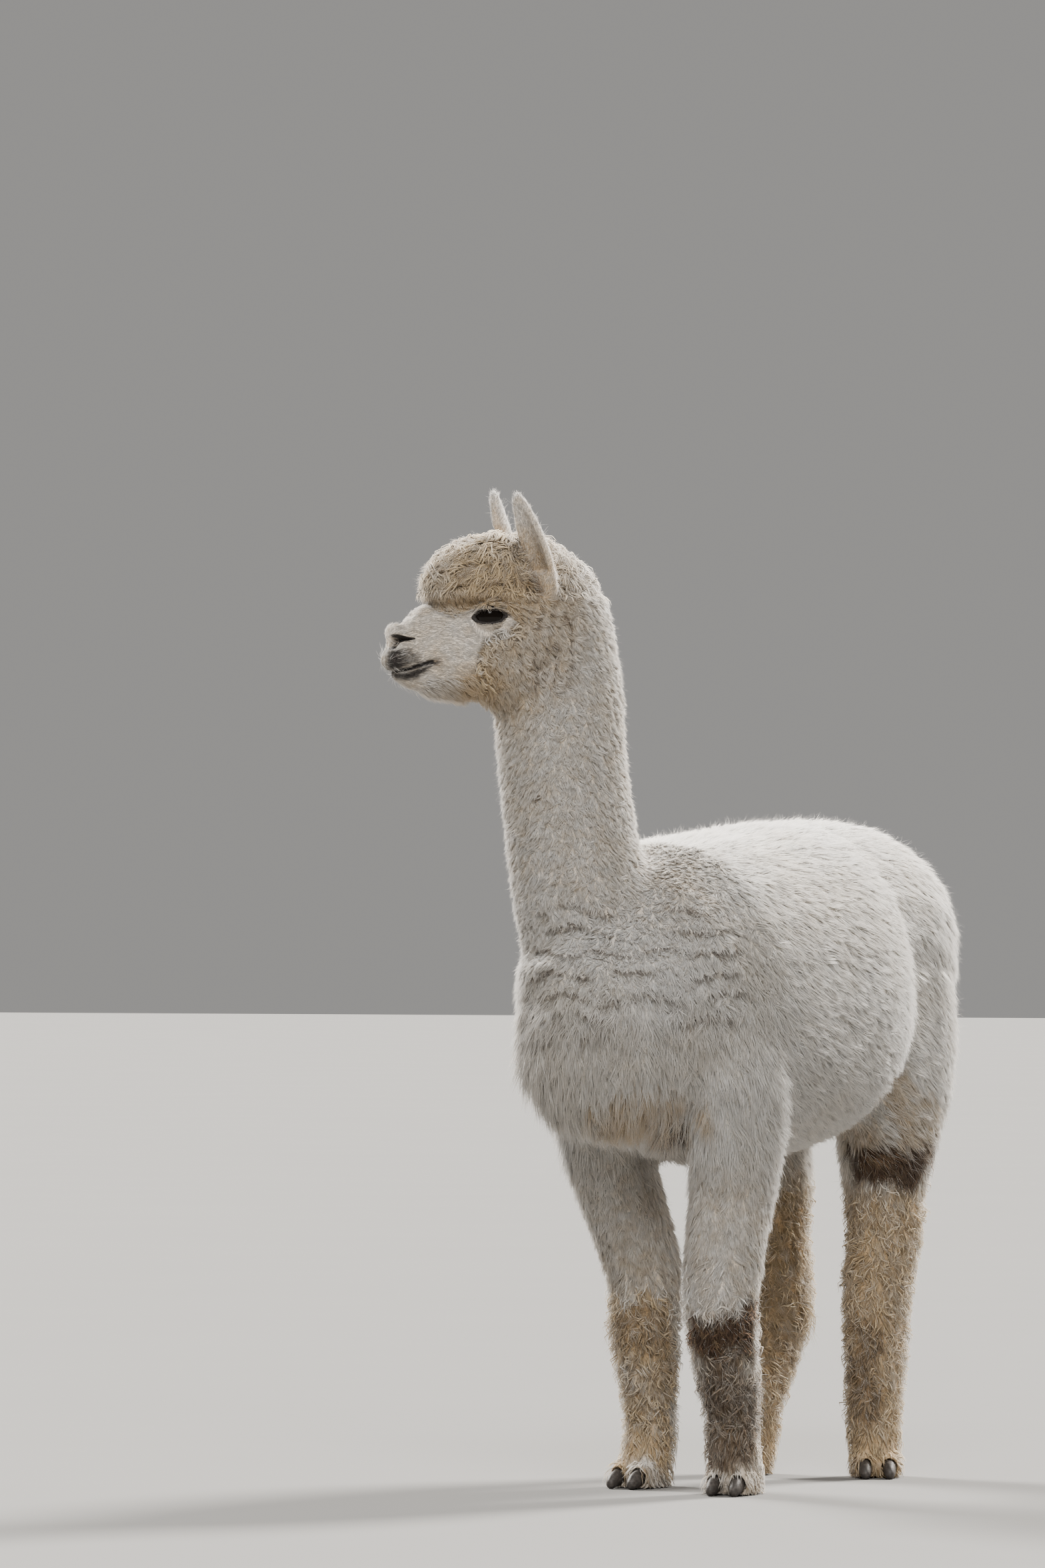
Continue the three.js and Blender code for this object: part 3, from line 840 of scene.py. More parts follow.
def shape_muzzle(points, normals):
    """Nostrils, the split upper lip, the mouth's line, lips, and the rise of the bridge."""
    place = to_head(points)
    behind, left, above = place.T
    side = side_view(place)
    front = smooth(behind, 75, 60)
    upward = np.clip(normals[:, 2], 0, 1)
    lift = np.zeros(len(points))
    for back, high, height, reach in BRIDGE:
        lift += height * bell(distance_to(side, (back, high)), reach) * upward
    for back, high, stretch, height, reach in MUZZLE_FOLDS:
        lift += height * bell(distance_to(side, (back, high), (stretch, 1)), reach)
    mouth, along = path_distance(side, MOUTH_LINE)
    lift -= (5.5 - 3.0 * along) * bell(mouth, 1.9) * front
    split = smooth(above, -6, -12) * smooth(above, -52, -44) * smooth(behind, 30, 12)
    lift -= 2.6 * bell(left, 2.0) * split
    inside = inside_distance(side, NOSTRIL)
    open_side = nostril_side(place)
    lift -= 10 * smooth(inside, -0.8, 2.6) * smooth(behind, 40, 14) * open_side
    lift -= 2.0 * smooth(inside, -1.0, 1.2) * open_side
    wing = bell(distance_to(side, (16, 5.5), (2.4, 1)), 5)
    lift += (1.8 * wing + 1.0 * bell(inside + 2.6, 1.5)) * open_side * smooth(behind, 42, 26)
    return points + normals * (lift * MM)[:, None]


def sink(mesh, points, depth):
    """Points of the mesh moved in under the coat, deeper at its cracks and less under its ruffs."""
    normals = unit(relax(normals_of(mesh), edges_of(mesh), 2, keep=0))
    sunk = depth + CRACK_DEPTH * parting(points)
    for centre, reach, more in RUFFS:
        sunk -= more / MM * bell(distance_to(points, centre), reach)
    return points - normals * (np.maximum(sunk, LEAST_SUNK * depth) * MM)[:, None]


def make_skin(fleece):
    """The one skin, sunk under the coat, with the face's folds. Returns its mesh and its styles' shares."""
    mesh = remeshed(whole_flesh(), fleece.voxel)
    smooth_flesh(mesh)
    refine_face(mesh)
    points, edges = points_of(mesh), edges_of(mesh)
    face = distance_to(to_head(points), FACE_MIDDLE) < FACE_EVENED
    points = relax(points, edges, FACE_ROUNDS, hold=1.0 - face)
    put_points(mesh, points)
    weights = region_weights(points, edges)
    face_share = weights[:, STYLE_NAMES.index("face")]
    points = sink(mesh, points, Style.at(weights, fleece)["depth"])
    points = push_front(relax(points, edges, 3, hold=face_share))
    put_points(mesh, points)
    marks = markings(points)
    points = shape_muzzle(points, unit(relax(normals_of(mesh), edges, 1, keep=0)))
    points = shape_eyes(points, fleece.eye_radius / MM)
    put_points(mesh, points)
    store(mesh, MARKS, np.maximum(marks, markings(points)))
    store(mesh, FACE_PARTS, np.stack((face_share, parting(points), np.zeros(len(points))), axis=1))
    mesh.shade_smooth()
    return mesh, weights


def unwrap(mesh):
    """Gives the skin a UV map unwrapped from its own shape."""
    obj = put_in_scene("unwrap", mesh)
    bpy.context.view_layer.objects.active = obj
    obj.select_set(True)
    bpy.ops.object.mode_set(mode="EDIT")
    bpy.ops.mesh.select_all(action="SELECT")
    bpy.ops.uv.smart_project(angle_limit=math.radians(66), island_margin=0.002)
    bpy.ops.object.mode_set(mode="OBJECT")
    bpy.data.objects.remove(obj)


class Surface:
    """The finished skin, on which locks are rooted."""

    def __init__(self, mesh, weights):
        mesh.calc_loop_triangles()
        count = len(mesh.loop_triangles)
        flat = np.empty(count * 3, np.int32)
        mesh.loop_triangles.foreach_get("vertices", flat)
        self.corners = flat.reshape(-1, 3).copy()
        mesh.loop_triangles.foreach_get("loops", flat)
        loops = flat.reshape(-1, 3)
        uv = np.empty(len(mesh.loops) * 2)
        mesh.uv_layers.active.data.foreach_get("uv", uv)
        self.uv = uv.reshape(-1, 2)[loops]
        self.points = points_of(mesh)
        self.normals = unit(relax(normals_of(mesh), edges_of(mesh), 3, keep=0))
        self.weights = weights
        a, b, c = (self.points[self.corners[:, k]] for k in range(3))
        self.areas = np.linalg.norm(np.cross(b - a, c - a), axis=1) / 2

    def scatter(self, share, count, rng):
        """count roots, spread evenly over the skin in proportion to share, a number for each point."""
        amount = self.areas * share[self.corners].mean(axis=1)
        total = np.cumsum(amount)
        picks = np.searchsorted(total, (np.arange(count) + rng.random(count)) * total[-1] / count)
        picks = np.minimum(picks, len(total) - 1)
        first, second = rng.random((2, count))
        over = first + second > 1
        first, second = np.where(over, 1 - first, first), np.where(over, 1 - second, second)
        parts = np.stack((1 - first - second, first, second), axis=1)
        corners = self.corners[picks]

        def blend(values):
            """What the three corners' values come to at each root."""
            return (values * parts[:, :, None]).sum(axis=1)

        spacing = np.sqrt(total[-1] / count / np.maximum(share[corners].mean(axis=1), 1e-3))
        return {
            "point": blend(self.points[corners]),
            "normal": unit(blend(self.normals[corners])),
            "uv": blend(self.uv[picks]),
            "weights": blend(self.weights[corners]),
            "spacing": spacing,
        }


# ---------------------------------------------------------------- how the coat lies


def combing(points, weights):
    """The way the tips of the coat point, not yet laid on the skin."""
    x, y, _ = points.T
    place = to_head(points)
    still = np.zeros(len(points))
    rear = smooth(y, 0.16, 0.36)
    trunk = np.stack((np.sign(x) * 0.25, 0.78 - 0.45 * rear, -0.62 - 0.3 * rear), axis=1)
    down = np.stack((still, still + 0.12, still - 1), axis=1)
    tail = np.stack((still, still + 0.45, still - 0.9), axis=1)
    upward = 0.25 - 0.45 * smooth(place[:, 0], 40, 120)
    face = np.stack((still + 1, np.sign(place[:, 1]) * 0.15, upward), axis=1)
    for sign in (1, -1):
        away = place - EYE_PLACE * (1, sign, 1)
        face = face + unit(away) * (3 * smooth(distance_to(away, 0), EYE_REACH, 22))[:, None]
    topknot = unit((place - CROWN) * (1, 1, 0.2)) + (-0.25, 0, -0.75)
    cheeks = np.stack((still + 0.55, np.sign(place[:, 1]) * 0.1, still - 0.85), axis=1)
    ears = np.stack((still + 0.1, still, still + 1), axis=1)
    ways = dict.fromkeys(STYLE_NAMES, down) | {
        "trunk": trunk,
        "tail": tail,
        "topknot": topknot @ HEAD_AXES,
        "cheeks": cheeks @ HEAD_AXES,
        "face": face @ HEAD_AXES,
        "ears": ears @ HEAD_AXES,
    }
    return unit(sum(unit(ways[name]) * weights[:, [index]] for index, name in enumerate(STYLE_NAMES)))


def laid(vectors, normals):
    """Vectors turned to lie along the surface."""
    return unit(vectors - normals * (vectors * normals).sum(axis=1, keepdims=True))


def bunches(points, cell, spacing, rng):
    """The index of the bunch middle that each root belongs to."""
    middles = np.flatnonzero(rng.random(len(points)) < np.clip((spacing / (cell * MM)) ** 2, 0, 1))
    tree = KDTree(len(middles))
    for index in middles:
        tree.insert(points[index], index)
    tree.balance()
    return np.array([tree.find(point)[1] for point in points])


TURNS = 0.85  # turns of a lock's wave along its length
FLOOR_GAP = 1.5 * MM  # no lock hangs lower than this
LEAST_BEND = 0.05  # radians
EDGE_SHORTER = 0.45  # the part of their length that the locks at a bunch's edge lack
LIFTED = 0.2  # the part of its length in which a lock has lifted off the skin
WAVE_HEIGHT = 0.6  # of a lock's wave, against its width


def grow(roots, style, stations, rng, size):
    """The points along every lock, as locks by stations by three, and the bunch of each lock.

    roots gains how far each lock stands out at its bunch's edge."""
    points, normals = roots["point"], roots["normal"]
    count = len(points)
    bunch = bunches(points, style["cell"], roots["spacing"], rng)

    def varied(own, shared):
        """A number near 0 for each lock, part its own and part its bunch's."""
        return rng.normal(size=count) * own + (rng.normal(size=count) * shared)[bunch]

    def column(values):
        """One row for each lock, to go with one column for each station or axis."""
        return np.asarray(values)[:, None]

    way = laid(combing(points, roots["weights"]), normals)
    across = np.cross(normals, way)
    stray = style["mess"] * varied(0.35, 1.0)
    way = way * column(np.cos(stray)) + across * column(np.sin(stray))
    across = np.cross(normals, way)
    offset = points - points[bunch]
    offset = offset - normals * (offset * normals).sum(axis=1, keepdims=True)
    from_middle = distance_to(offset, 0) / (style["cell"] * MM)
    roots["edge"] = style["gather"] * smooth(from_middle, 0.15, 0.75)
    scale = np.clip(1 + varied(0.12, 0.14), 0.55, 1.4) * size * (1 - EDGE_SHORTER * roots["edge"])
    rise = np.radians(style["rise"]) * np.clip(1 + varied(0.12, 0.08), 0.6, 1.3)
    fall = np.radians(style["fall"]) * (1 + varied(0.15, 0.15))
    bend = np.minimum(fall - rise, -LEAST_BEND)
    phase = varied(0.25, 2.0)
    s = np.array(stations)[None, :]
    angle = column(rise) + column(bend) * s
    reach = column(style["length"] * scale / bend)
    along = reach * (np.sin(angle) - np.sin(column(rise)))
    lifted = column(style["lift"]) * np.minimum(1, s / LIFTED)
    height = reach * (np.cos(column(rise)) - np.cos(angle)) + lifted
    turn = 2 * math.pi * TURNS * s + column(phase)
    side = column(style["crimp"]) * (np.sin(turn) - np.sin(column(phase)))
    height = height + WAVE_HEIGHT * column(style["crimp"]) * (np.cos(turn) - np.cos(column(phase))) * s
    pull = column(style["gather"]) * s
    path = (
        points[:, None]
        + way[:, None] * (along * MM)[:, :, None]
        + normals[:, None] * (height * MM)[:, :, None]
        + across[:, None] * (side * MM)[:, :, None]
        - offset[:, None] * pull[:, :, None]
        - UP * (column(style["droop"]) * s**2 * MM)[:, :, None]
    )
    path[:, :, 2] = np.maximum(path[:, :, 2], FLOOR_GAP)
    return path, bunch


SOFTNESS = 0.55  # how far a lock's shading turns from its own roundness to the skin's


def soften(mesh, normals):
    """Turns the shading of the locks towards that of the skin, as fine fibres have."""
    blended = unit(normals_of(mesh) * (1 - SOFTNESS) + normals * SOFTNESS)
    mesh.normals_split_custom_set_from_vertices(blended.tolist())


def lock_faces(rings):
    """One lock's faces as corner numbers: four-sided ones along it, three-sided ones at its ends."""
    last = (rings - 1) * 3
    sides = ((0, 1), (1, 2), (2, 0))
    quads = [
        (first + k, first + 3 + k, first + 3 + after, first + after)
        for first in range(0, last, 3)
        for k, after in sides
    ]
    ends = [(0, 1, 2)] + [(last + k, last + 3, last + after) for k, after in sides]
    return np.array(quads, int).reshape(-1, 4), np.array(ends)


LOCK_PROFILE = ((0, 0.3, 0.7, 1), (0.7, 1, 0.85, 0.3))  # part of its length, part of its width
RIDGE = 0.9  # height of a lock's ridge against its half width
EDGE_PAINTED_SHADE = 0.7  # painted shade: how much darker a lock at its bunch's edge is painted, for the shadow between bunches
PATCH = 0.003  # width of a lock's patch on the bake map
PATCH_MARGIN = 0.002  # of the bake map, which the patches' middles keep clear of


def lock_mesh(name, roots, path, stations, bunch, width, marks, rng):
    """A mesh of tapered three-sided locks along the paths, with their attributes and bake patches."""
    count = len(path)
    rings = len(stations) - 1
    per_lock = rings * 3 + 1
    s = np.array(stations)
    facing = roots["normal"]
    ahead = unit(np.gradient(path, axis=1))
    across = unit(np.cross(ahead, facing[:, None]))
    top = np.cross(across, ahead)
    half = (width * MM / 2)[:, None, None] * np.interp(s[:-1], *LOCK_PROFILE)[None, :, None]
    middle_line = path[:, :-1]
    left = middle_line - across[:, :-1] * half
    right = middle_line + across[:, :-1] * half
    ridge = middle_line + top[:, :-1] * half * RIDGE
    verts = np.stack((left, right, ridge), axis=2).reshape(count, rings * 3, 3)
    verts = np.concatenate((verts, path[:, -1:]), axis=1)
    starts = np.arange(count)[:, None, None] * per_lock
    quads, ends = ((faces[None] + starts).reshape(-1, faces.shape[1]) for faces in lock_faces(rings))
    corners = np.concatenate((quads.ravel(), ends.ravel())).astype(np.int32)
    sizes = np.concatenate((np.full(len(quads), 4), np.full(len(ends), 3)))
    mesh = bpy.data.meshes.new(name)
    mesh.vertices.add(count * per_lock)
    mesh.vertices.foreach_set("co", verts.astype(np.float32).ravel())
    mesh.loops.add(len(corners))
    mesh.loops.foreach_set("vertex_index", corners)
    mesh.polygons.add(len(sizes))
    mesh.polygons.foreach_set("loop_start", np.concatenate(((0,), np.cumsum(sizes)[:-1])).astype(np.int32))
    mesh.update(calc_edges=True)
    mesh.shade_smooth()
    share = np.concatenate((np.repeat(s[:-1], 3), (1,)))
    # a lock at its bunch's edge gets a lower number, which paints it darker as shade between the bunches
    own = rng.random(count) * (1 - roots["edge"]) - EDGE_PAINTED_SHADE * roots["edge"]
    shared = rng.random(count)[bunch]
    numbers = np.stack(np.broadcast_arrays(share[None], own[:, None], shared[:, None]), axis=2)
    store(mesh, LOCK, numbers.reshape(-1, 3))
    soften(mesh, np.repeat(facing, per_lock, axis=0))
    store(mesh, MARKS, np.repeat(marks, per_lock, axis=0))
    spread_u = np.concatenate((np.tile((0, 1, 0.5), rings), (0.5,)))
    patch = np.stack((spread_u, share), axis=1) - 0.5
    uv = np.clip(roots["uv"], PATCH_MARGIN, 1 - PATCH_MARGIN)[:, None] + patch[None] * PATCH
    layer = mesh.uv_layers.new(name="OFBake")
    layer.data.foreach_set("uv", uv.reshape(-1, 2)[corners].astype(np.float32).ravel())
    return mesh


# ---------------------------------------------------------------- finishes


def coat_shade(finish, colours, painted_shade_and_tone):
    """The coat's colour from its markings, made darker or lighter by its painted shade and random tone."""
    tan, stain_and_painted_shade, dark = finish.parts(finish.attribute(MARKS))
    drift = finish.noise(7, 4)
    fine = finish.noise(60)
    patch = finish.step(drift + fine * 0.35, 0.45, 0.95)
    shade = finish.mix(patch * 0.45, colours.white, colours.cream)
    shade = finish.mix(finish.step(tan + (fine - 0.5) * 0.5, 0.05, 0.95), shade, colours.tan)
    # the stain also carries painted shade in the coat's cracks
    shade = finish.mix(finish.step(stain_and_painted_shade + (fine - 0.5) * 0.4, 0.08, 0.92), shade, colours.stain_and_painted_shade)
    # the dark also carries painted shade round the nostrils
    shade = finish.mix(finish.step(dark + (fine - 0.5) * 0.3, 0.15, 0.85), shade, colours.skin)
    return finish.tint(shade, painted_shade_and_tone)


def wool_finish(name, colours):
    """Wool of solid locks: painted darker at the root, as shade deep in the coat with a little dust, and at
    a bunch's edge as shade between bunches; each lock and each bunch a little different.
    """
    finish = Finish(
        name, sheen_weight=0.25, sheen_roughness=0.45, specular_ior_level=0.2, subsurface_weight=0.5,
        subsurface_scale=6 * MM, subsurface_radius=(1.0, 0.85, 0.7),
    )
    along, own, shared = finish.parts(finish.attribute(LOCK))
    # painted shade: each lock is painted darker towards its root, for the shade deep in the coat, with a
    # little dust
    depth = 0.64 + 0.36 * finish.step(along, -0.1, 0.7)
    painted_shade_and_tone = depth * (0.84 + 0.24 * own) * (0.89 + 0.19 * shared)
    shade = coat_shade(finish, colours, painted_shade_and_tone)
    fibres = finish.bump(finish.noise(900, 2), 0.4 * MM, 0.5)
    return finish.done(base_color=shade, roughness=0.72 + 0.14 * own, normal=fibres)


def skin_finish(colours):
    """Skin with short hair on the face, bare and dark at the lips, lids and nostrils, painted darker as
    shade under the coat, in its cracks and round the nostrils.
    """
    finish = Finish("skin_and_short_hair", sheen_weight=0.04, sheen_roughness=0.4, specular_ior_level=0.22)
    face, crack, _ = finish.parts(finish.attribute(FACE_PARTS))
    hair = finish.noise(520, 4)
    # painted shade: the skin is painted darker under the coat than on the bare face, and darker again in
    # the coat's cracks; the hair noise is its own tone
    painted_shade_and_tone = (0.84 + 0.14 * face) * (0.88 + 0.22 * hair) * (1 - 0.5 * crack)
    shade = coat_shade(finish, colours, painted_shade_and_tone)
    _, _, dark = finish.parts(finish.attribute(MARKS))
    bare = finish.step(dark, 0.6, 0.95)
    pile = finish.bump(finish.noise(130, 4), 5 * MM, 0.7)
    pile = finish.bump(hair, 0.8 * MM, 0.6, pile)
    return finish.done(base_color=shade, roughness=0.82 - 0.4 * bare, normal=pile)


def scaled(shade, factor):
    """A plain colour made darker or lighter, no part of it above 1."""
    return tuple(min(1, part * factor) for part in shade)


def eye_finish(colours):
    """A wet dark eye with a faint cloud in it."""
    finish = Finish("eye", roughness=0.08, specular_ior_level=0.15)
    cloud = finish.noise(260)
    return finish.done(base_color=finish.mix(cloud, colours.eye, scaled(colours.eye, 0.3)))


def nail_finish(colours):
    """Dark scuffed horn."""
    finish = Finish("toenail", specular_ior_level=0.4)
    scuff = finish.noise(220, 4)
    shade = finish.mix(finish.step(scuff, 0.45, 0.7), colours.nail, scaled(colours.nail, 1.9))
    relief = finish.bump(scuff, 0.5 * MM, 0.6)
    return finish.done(base_color=shade, roughness=0.45 + 0.25 * scuff, normal=relief)


def floor_finish(colours):
    """A pale matt floor, very slightly cloudy."""
    finish = Finish("studio_floor", specular_ior_level=0.2)
    cloud = finish.noise(1.4)
    shade = finish.mix(cloud, colours.floor, scaled(colours.floor, 0.94))
    return finish.done(base_color=shade, roughness=0.75 + 0.1 * cloud)


# ---------------------------------------------------------------- pieces


def add_piece(name, mesh, material):
    """Puts a mesh in the scene as a piece that rides on the model."""
    mesh.materials.clear()
    mesh.materials.append(material)
    piece = put_in_scene(name, mesh)
    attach(piece, "root")
    return piece


BUILT = {}  # the finished skin's surface, for the coat's operators


def surface():
    """The finished skin's surface."""
    if "surface" not in BUILT:
        raise RuntimeError("build the skin before its coat")
    return BUILT["surface"]


# Longer tufts: middle in the row frame in metres, reach, and how much longer the locks grow.
TUFTS = (
    ((0.088, -0.275, 0.502), 0.026, 1.5),
    ((-0.088, -0.360, 0.580), 0.070, 0.60),
    ((-0.094, -0.135, 0.224), 0.018, 1.1),
    ((-0.086, -0.140, 0.180), 0.014, 0.9),
    ((0.160, 0.265, 0.262), 0.018, 1.0),
    ((-0.010, 0.280, 0.232), 0.026, 1.6),
)
SEEN_PART = 0.6  # the part of a lock's length, from its root, at which it is seen
WIDTH_SPREAD = 0.2  # how much wider or narrower a lock usually is than its region's
CRACK_SHORTER = 0.30  # the part of their length that the locks in the cracks of the coat lack
CRACK_PAINTED_SHADE = 0.62  # painted shade: how dark the coat is painted in the cracks where it parts, where shadow falls between the locks


def growth(points):
    """How much longer than its region's locks a lock grows at each point."""
    size = np.ones(len(points))
    for centre, reach, more in TUFTS:
        size += more * bell(distance_to(points, centre), reach)
    return size


class Coat:
    """One piece of the coat: where its locks are rooted, how many there are and the stations along each.

    A plain one has no markings. own_style holds, for a field of its region's style, a factor and what is
    then added."""

    def __init__(self, name, slot, where, count, stations, plain=False, **own_style):
        self.name = name
        self.slot = slot
        self.where = where
        self.count = count
        self.stations = stations
        self.plain = plain
        self.own_style = own_style

    def build(self, context, material):
        """Grows the locks and puts them in the scene as one piece."""
        skin = surface()
        rng = np.random.default_rng(sum(map(ord, self.name)))
        roots = skin.scatter(self.where(skin), self.count, rng)
        style = Style.at(roots["weights"], context.scene.alpaca_fleece)
        for field, (factor, added) in self.own_style.items():
            style[field] = style[field] * factor + added
        way = laid(combing(roots["point"], roots["weights"]), roots["normal"])
        crack = parting(roots["point"] + way * (style["length"] * SEEN_PART * MM)[:, None])
        size = growth(roots["point"]) * (1 - CRACK_SHORTER * crack)
        path, bunch = grow(roots, style, self.stations, rng, size)
        width = style["width"] * np.clip(1 + rng.normal(size=self.count) * WIDTH_SPREAD, 0.5, 1.5)
        marks = markings(roots["point"])
        # painted shade: the coat is painted darker in its cracks, through the stain, where shadow falls
        # between the locks
        marks[:, 1] = np.maximum(marks[:, 1], CRACK_PAINTED_SHADE * crack)
        marks *= not self.plain
        mesh = lock_mesh(self.name, roots, path, self.stations, bunch, width, marks, rng)
        add_piece(self.name, mesh, material)


def share_of(skin, *styles):
    """The share of some styles of coat at each point of the skin."""
    return sum(skin.weights[:, STYLE_NAMES.index(style)] for style in styles)


def on(style):
    """Says to root locks wherever one style of coat holds."""
    return lambda skin: share_of(skin, style)


MIDLINE = (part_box("trunk")[0][0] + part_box("trunk")[1][0]) / 2


def on_quarter(left, fore):
    """Says to root locks on one quarter of the trunk."""

    def where(skin):
        x, y, _ = skin.points.T
        return share_of(skin, "trunk") * ((x > MIDLINE) == left) * ((y < WAIST) == fore)

    return where


def on_shanks(front):
    """Says to root locks on the shanks of the front legs or of the hind ones."""

    def where(skin):
        return share_of(skin, "shanks") * ((skin.points[:, 1] < HIND_LEGS) == front)

    return where


def on_face(skin):
    """The haired part of the face: not the nostrils, the mouth's line or inside the lids."""
    place = to_head(skin.points)
    side = side_view(place)
    nostril = (inside_distance(side, NOSTRIL) > -2) * nostril_side(place)
    mouth, _ = path_distance(side, MOUTH_LINE)
    return share_of(skin, "face") * (1 - nostril) * (mouth > 1.5) * (eye_rim(skin.points) > 1.16)


def on_cheek_band(skin):
    """A band of curls round the back of the bare face, below the eye."""
    place = to_head(skin.points)
    band, _ = path_distance(side_view(place), CHEEK_CURLS)
    return share_of(skin, "cheeks", "face") * smooth(band, 9, 4) * (np.abs(place[:, 1]) > 20)


def on_lid_edges(skin):
    """A strip along the edge of each upper lid."""
    rim = eye_rim(skin.points)
    above = to_head(skin.points)[:, 2] > EYE_PLACE[2] + 2
    return (rim > 1.04) * (rim < 1.16) * above * 1.0


def under_jaw(skin):
    """The underside of the jaw, where the hair hangs."""
    behind, _, above = to_head(skin.points).T
    return share_of(skin, "face") * smooth(behind, 44, 62) * smooth(above, -52, -66)


def on_lips(skin):
    """The front of both lips and the chin."""
    behind, _, above = to_head(skin.points).T
    lips = smooth(behind, 26, 4) * smooth(above, -12, -20)
    chin = smooth(behind, 62, 40) * smooth(above, -56, -64)
    return share_of(skin, "face") * (lips + chin)


def nearly_everywhere(skin):
    """All the skin, but hardly the face and the feet."""
    return 1 - share_of(skin, "face", "feet") * 0.97


# Places of the stations along a lock, from its root to its tip.
SPIKE = (0, 1)
LEAF = (0, 0.38, 1)
NUB = (0, 0.5, 1)
HOOK = (0, 0.22, 0.45, 0.72, 1)

TRUNK_COATS = [
    Coat(f"fleece_{end}_{side}", "fleece", on_quarter(side == "left", end == "fore"), count, SPIKE)
    for end, count in (("fore", 26500), ("hind", 28000))
    for side in ("left", "right")
]
TRUNK_COATS += [
    Coat(f"fleece_{style}", "fleece", on(style), count, SPIKE)
    for style, count in (("breast", 14500), ("chest", 14000), ("tail", 6000), ("neck", 43800))
]
TRUNK_COATS += [
    Coat("stray_hairs", "fleece", nearly_everywhere, 18000, SPIKE, plain=True,
         lift=(0.5, 3), length=(0.55, 7), rise=(0, 60), fall=(0, 14), width=(0, 0.45), gather=(0, 0),
         mess=(0, 0.8)),
]
HEAD_COATS = [
    Coat("curls_topknot", "topknot_wool", on("topknot"), 5000, HOOK,
         width=(0.86, 0)),
    Coat("fuzz_topknot", "topknot_wool", on("topknot"), 20000, SPIKE,
         lift=(1, 1), length=(0.9, 0), rise=(0, 52), fall=(0, -8), width=(0, 1.3)),
    Coat("wool_cheeks", "face_hair", on("cheeks"), 20500, SPIKE),
    Coat("curls_cheeks", "face_hair", on_cheek_band, 520, HOOK,
         lift=(0, 2), length=(0, 17), rise=(0, 72), fall=(0, -66), width=(0, 1.7), cell=(0, 7),
         gather=(0, 0.6), mess=(0, 0.5), crimp=(0, 2.6)),
]
LEG_COATS = [
    Coat("wool_upper_legs", "leg_wool", on("legs"), 23000, SPIKE),
    Coat("curls_front_shanks", "leg_wool", on_shanks(True), 2400, NUB,
         width=(0.8, 0)),
    Coat("curls_hind_shanks", "leg_wool", on_shanks(False), 3600, NUB,
         width=(0.8, 0)),
    Coat("fuzz_shanks", "leg_wool", on("shanks"), 27000, SPIKE,
         length=(0.85, 0), rise=(0, 46), fall=(0, -8), width=(0, 1.7)),
]
SHORT_COATS = [
    Coat("hair_face", "face_hair", on_face, 14000, SPIKE),
    Coat("hair_ears", "face_hair", on("ears"), 6000, SPIKE),
    Coat("hair_feet", "leg_wool", on("feet"), 3000, LEAF),
    Coat("hair_jaw", "face_hair", under_jaw, 2200, LEAF,
         length=(0, 15), rise=(0, 46), fall=(0, 6), width=(0, 0.9), droop=(0, 4), mess=(0, 0.35)),
    Coat("whiskers", "face_hair", on_lips, 170, LEAF, plain=True,
         length=(0, 15), rise=(0, 52), fall=(0, 4), width=(0, 0.32), gather=(0, 0)),
    Coat("lashes", "face_hair", on_lid_edges, 150, LEAF,
         length=(0, 8), rise=(0, 62), fall=(0, 20), width=(0, 0.5), gather=(0, 0)),
]


def grow_coats(context, finish_name, coats):
    """Builds some pieces of the coat, which share one finish."""
    material = wool_finish(finish_name, context.scene.alpaca_colours)
    for coat in coats:
        coat.build(context, material)


class ALPACA_OT_skin(bpy.types.Operator):
    """One skin over all the flesh, sunk under the coat"""

    bl_idname = "alpaca.skin"
    bl_label = "Skin"
    bl_options = {"REGISTER", "UNDO"}

    def execute(self, context):
        mesh, weights = make_skin(context.scene.alpaca_fleece)
        unwrap(mesh)
        BUILT["surface"] = Surface(mesh, weights)
        piece = add_piece("skin", mesh, skin_finish(context.scene.alpaca_colours))
        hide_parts(*FLESH)
        return {"FINISHED"}


class ALPACA_OT_eyes(bpy.types.Operator):
    """Two wet eyes behind the lids"""

    bl_idname = "alpaca.eyes"
    bl_label = "Eyes"
    bl_options = {"REGISTER", "UNDO"}

    def execute(self, context):
        material = eye_finish(context.scene.alpaca_colours)
        radius = context.scene.alpaca_fleece.eye_radius
        for side, centre in EYE_MIDDLES.items():
            ball = bmesh.new()
            bmesh.ops.create_uvsphere(ball, u_segments=48, v_segments=32, radius=radius)
            bmesh.ops.translate(ball, verts=ball.verts, vec=Vector(centre))
            mesh = finished(ball, f"eyeball_{side}")
            mesh.shade_smooth()
            piece = add_piece(f"eyeball_{side}", mesh, material)
            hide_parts(f"eye_{side}")
        return {"FINISHED"}


class ALPACA_OT_toenails(bpy.types.Operator):
    """Eight dark toenails, two on each foot"""

    bl_idname = "alpaca.toenails"
    bl_label = "Toenails"
    bl_options = {"REGISTER", "UNDO"}

    def execute(self, context):
        material = nail_finish(context.scene.alpaca_colours)
        for node in (f"nail_{leg}_{toe}" for leg in LEGS for toe in ("outer", "inner")):
            mesh = finished(merged_node(node), "toe" + node)
            mesh.shade_smooth()
            piece = add_piece("toe" + node, mesh, material)
            finer = piece.modifiers.new("finer", "SUBSURF")
            finer.levels = finer.render_levels = 2
            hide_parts(node)
        return {"FINISHED"}


class ALPACA_OT_trunk_fleece(bpy.types.Operator):
    """Fleece of the trunk's four quarters, the breast, chest, tail and neck, and the stray hairs"""

    bl_idname = "alpaca.trunk_fleece"
    bl_label = "Trunk fleece"
    bl_options = {"REGISTER", "UNDO"}

    def execute(self, context):
        grow_coats(context, "fleece", TRUNK_COATS)
        return {"FINISHED"}


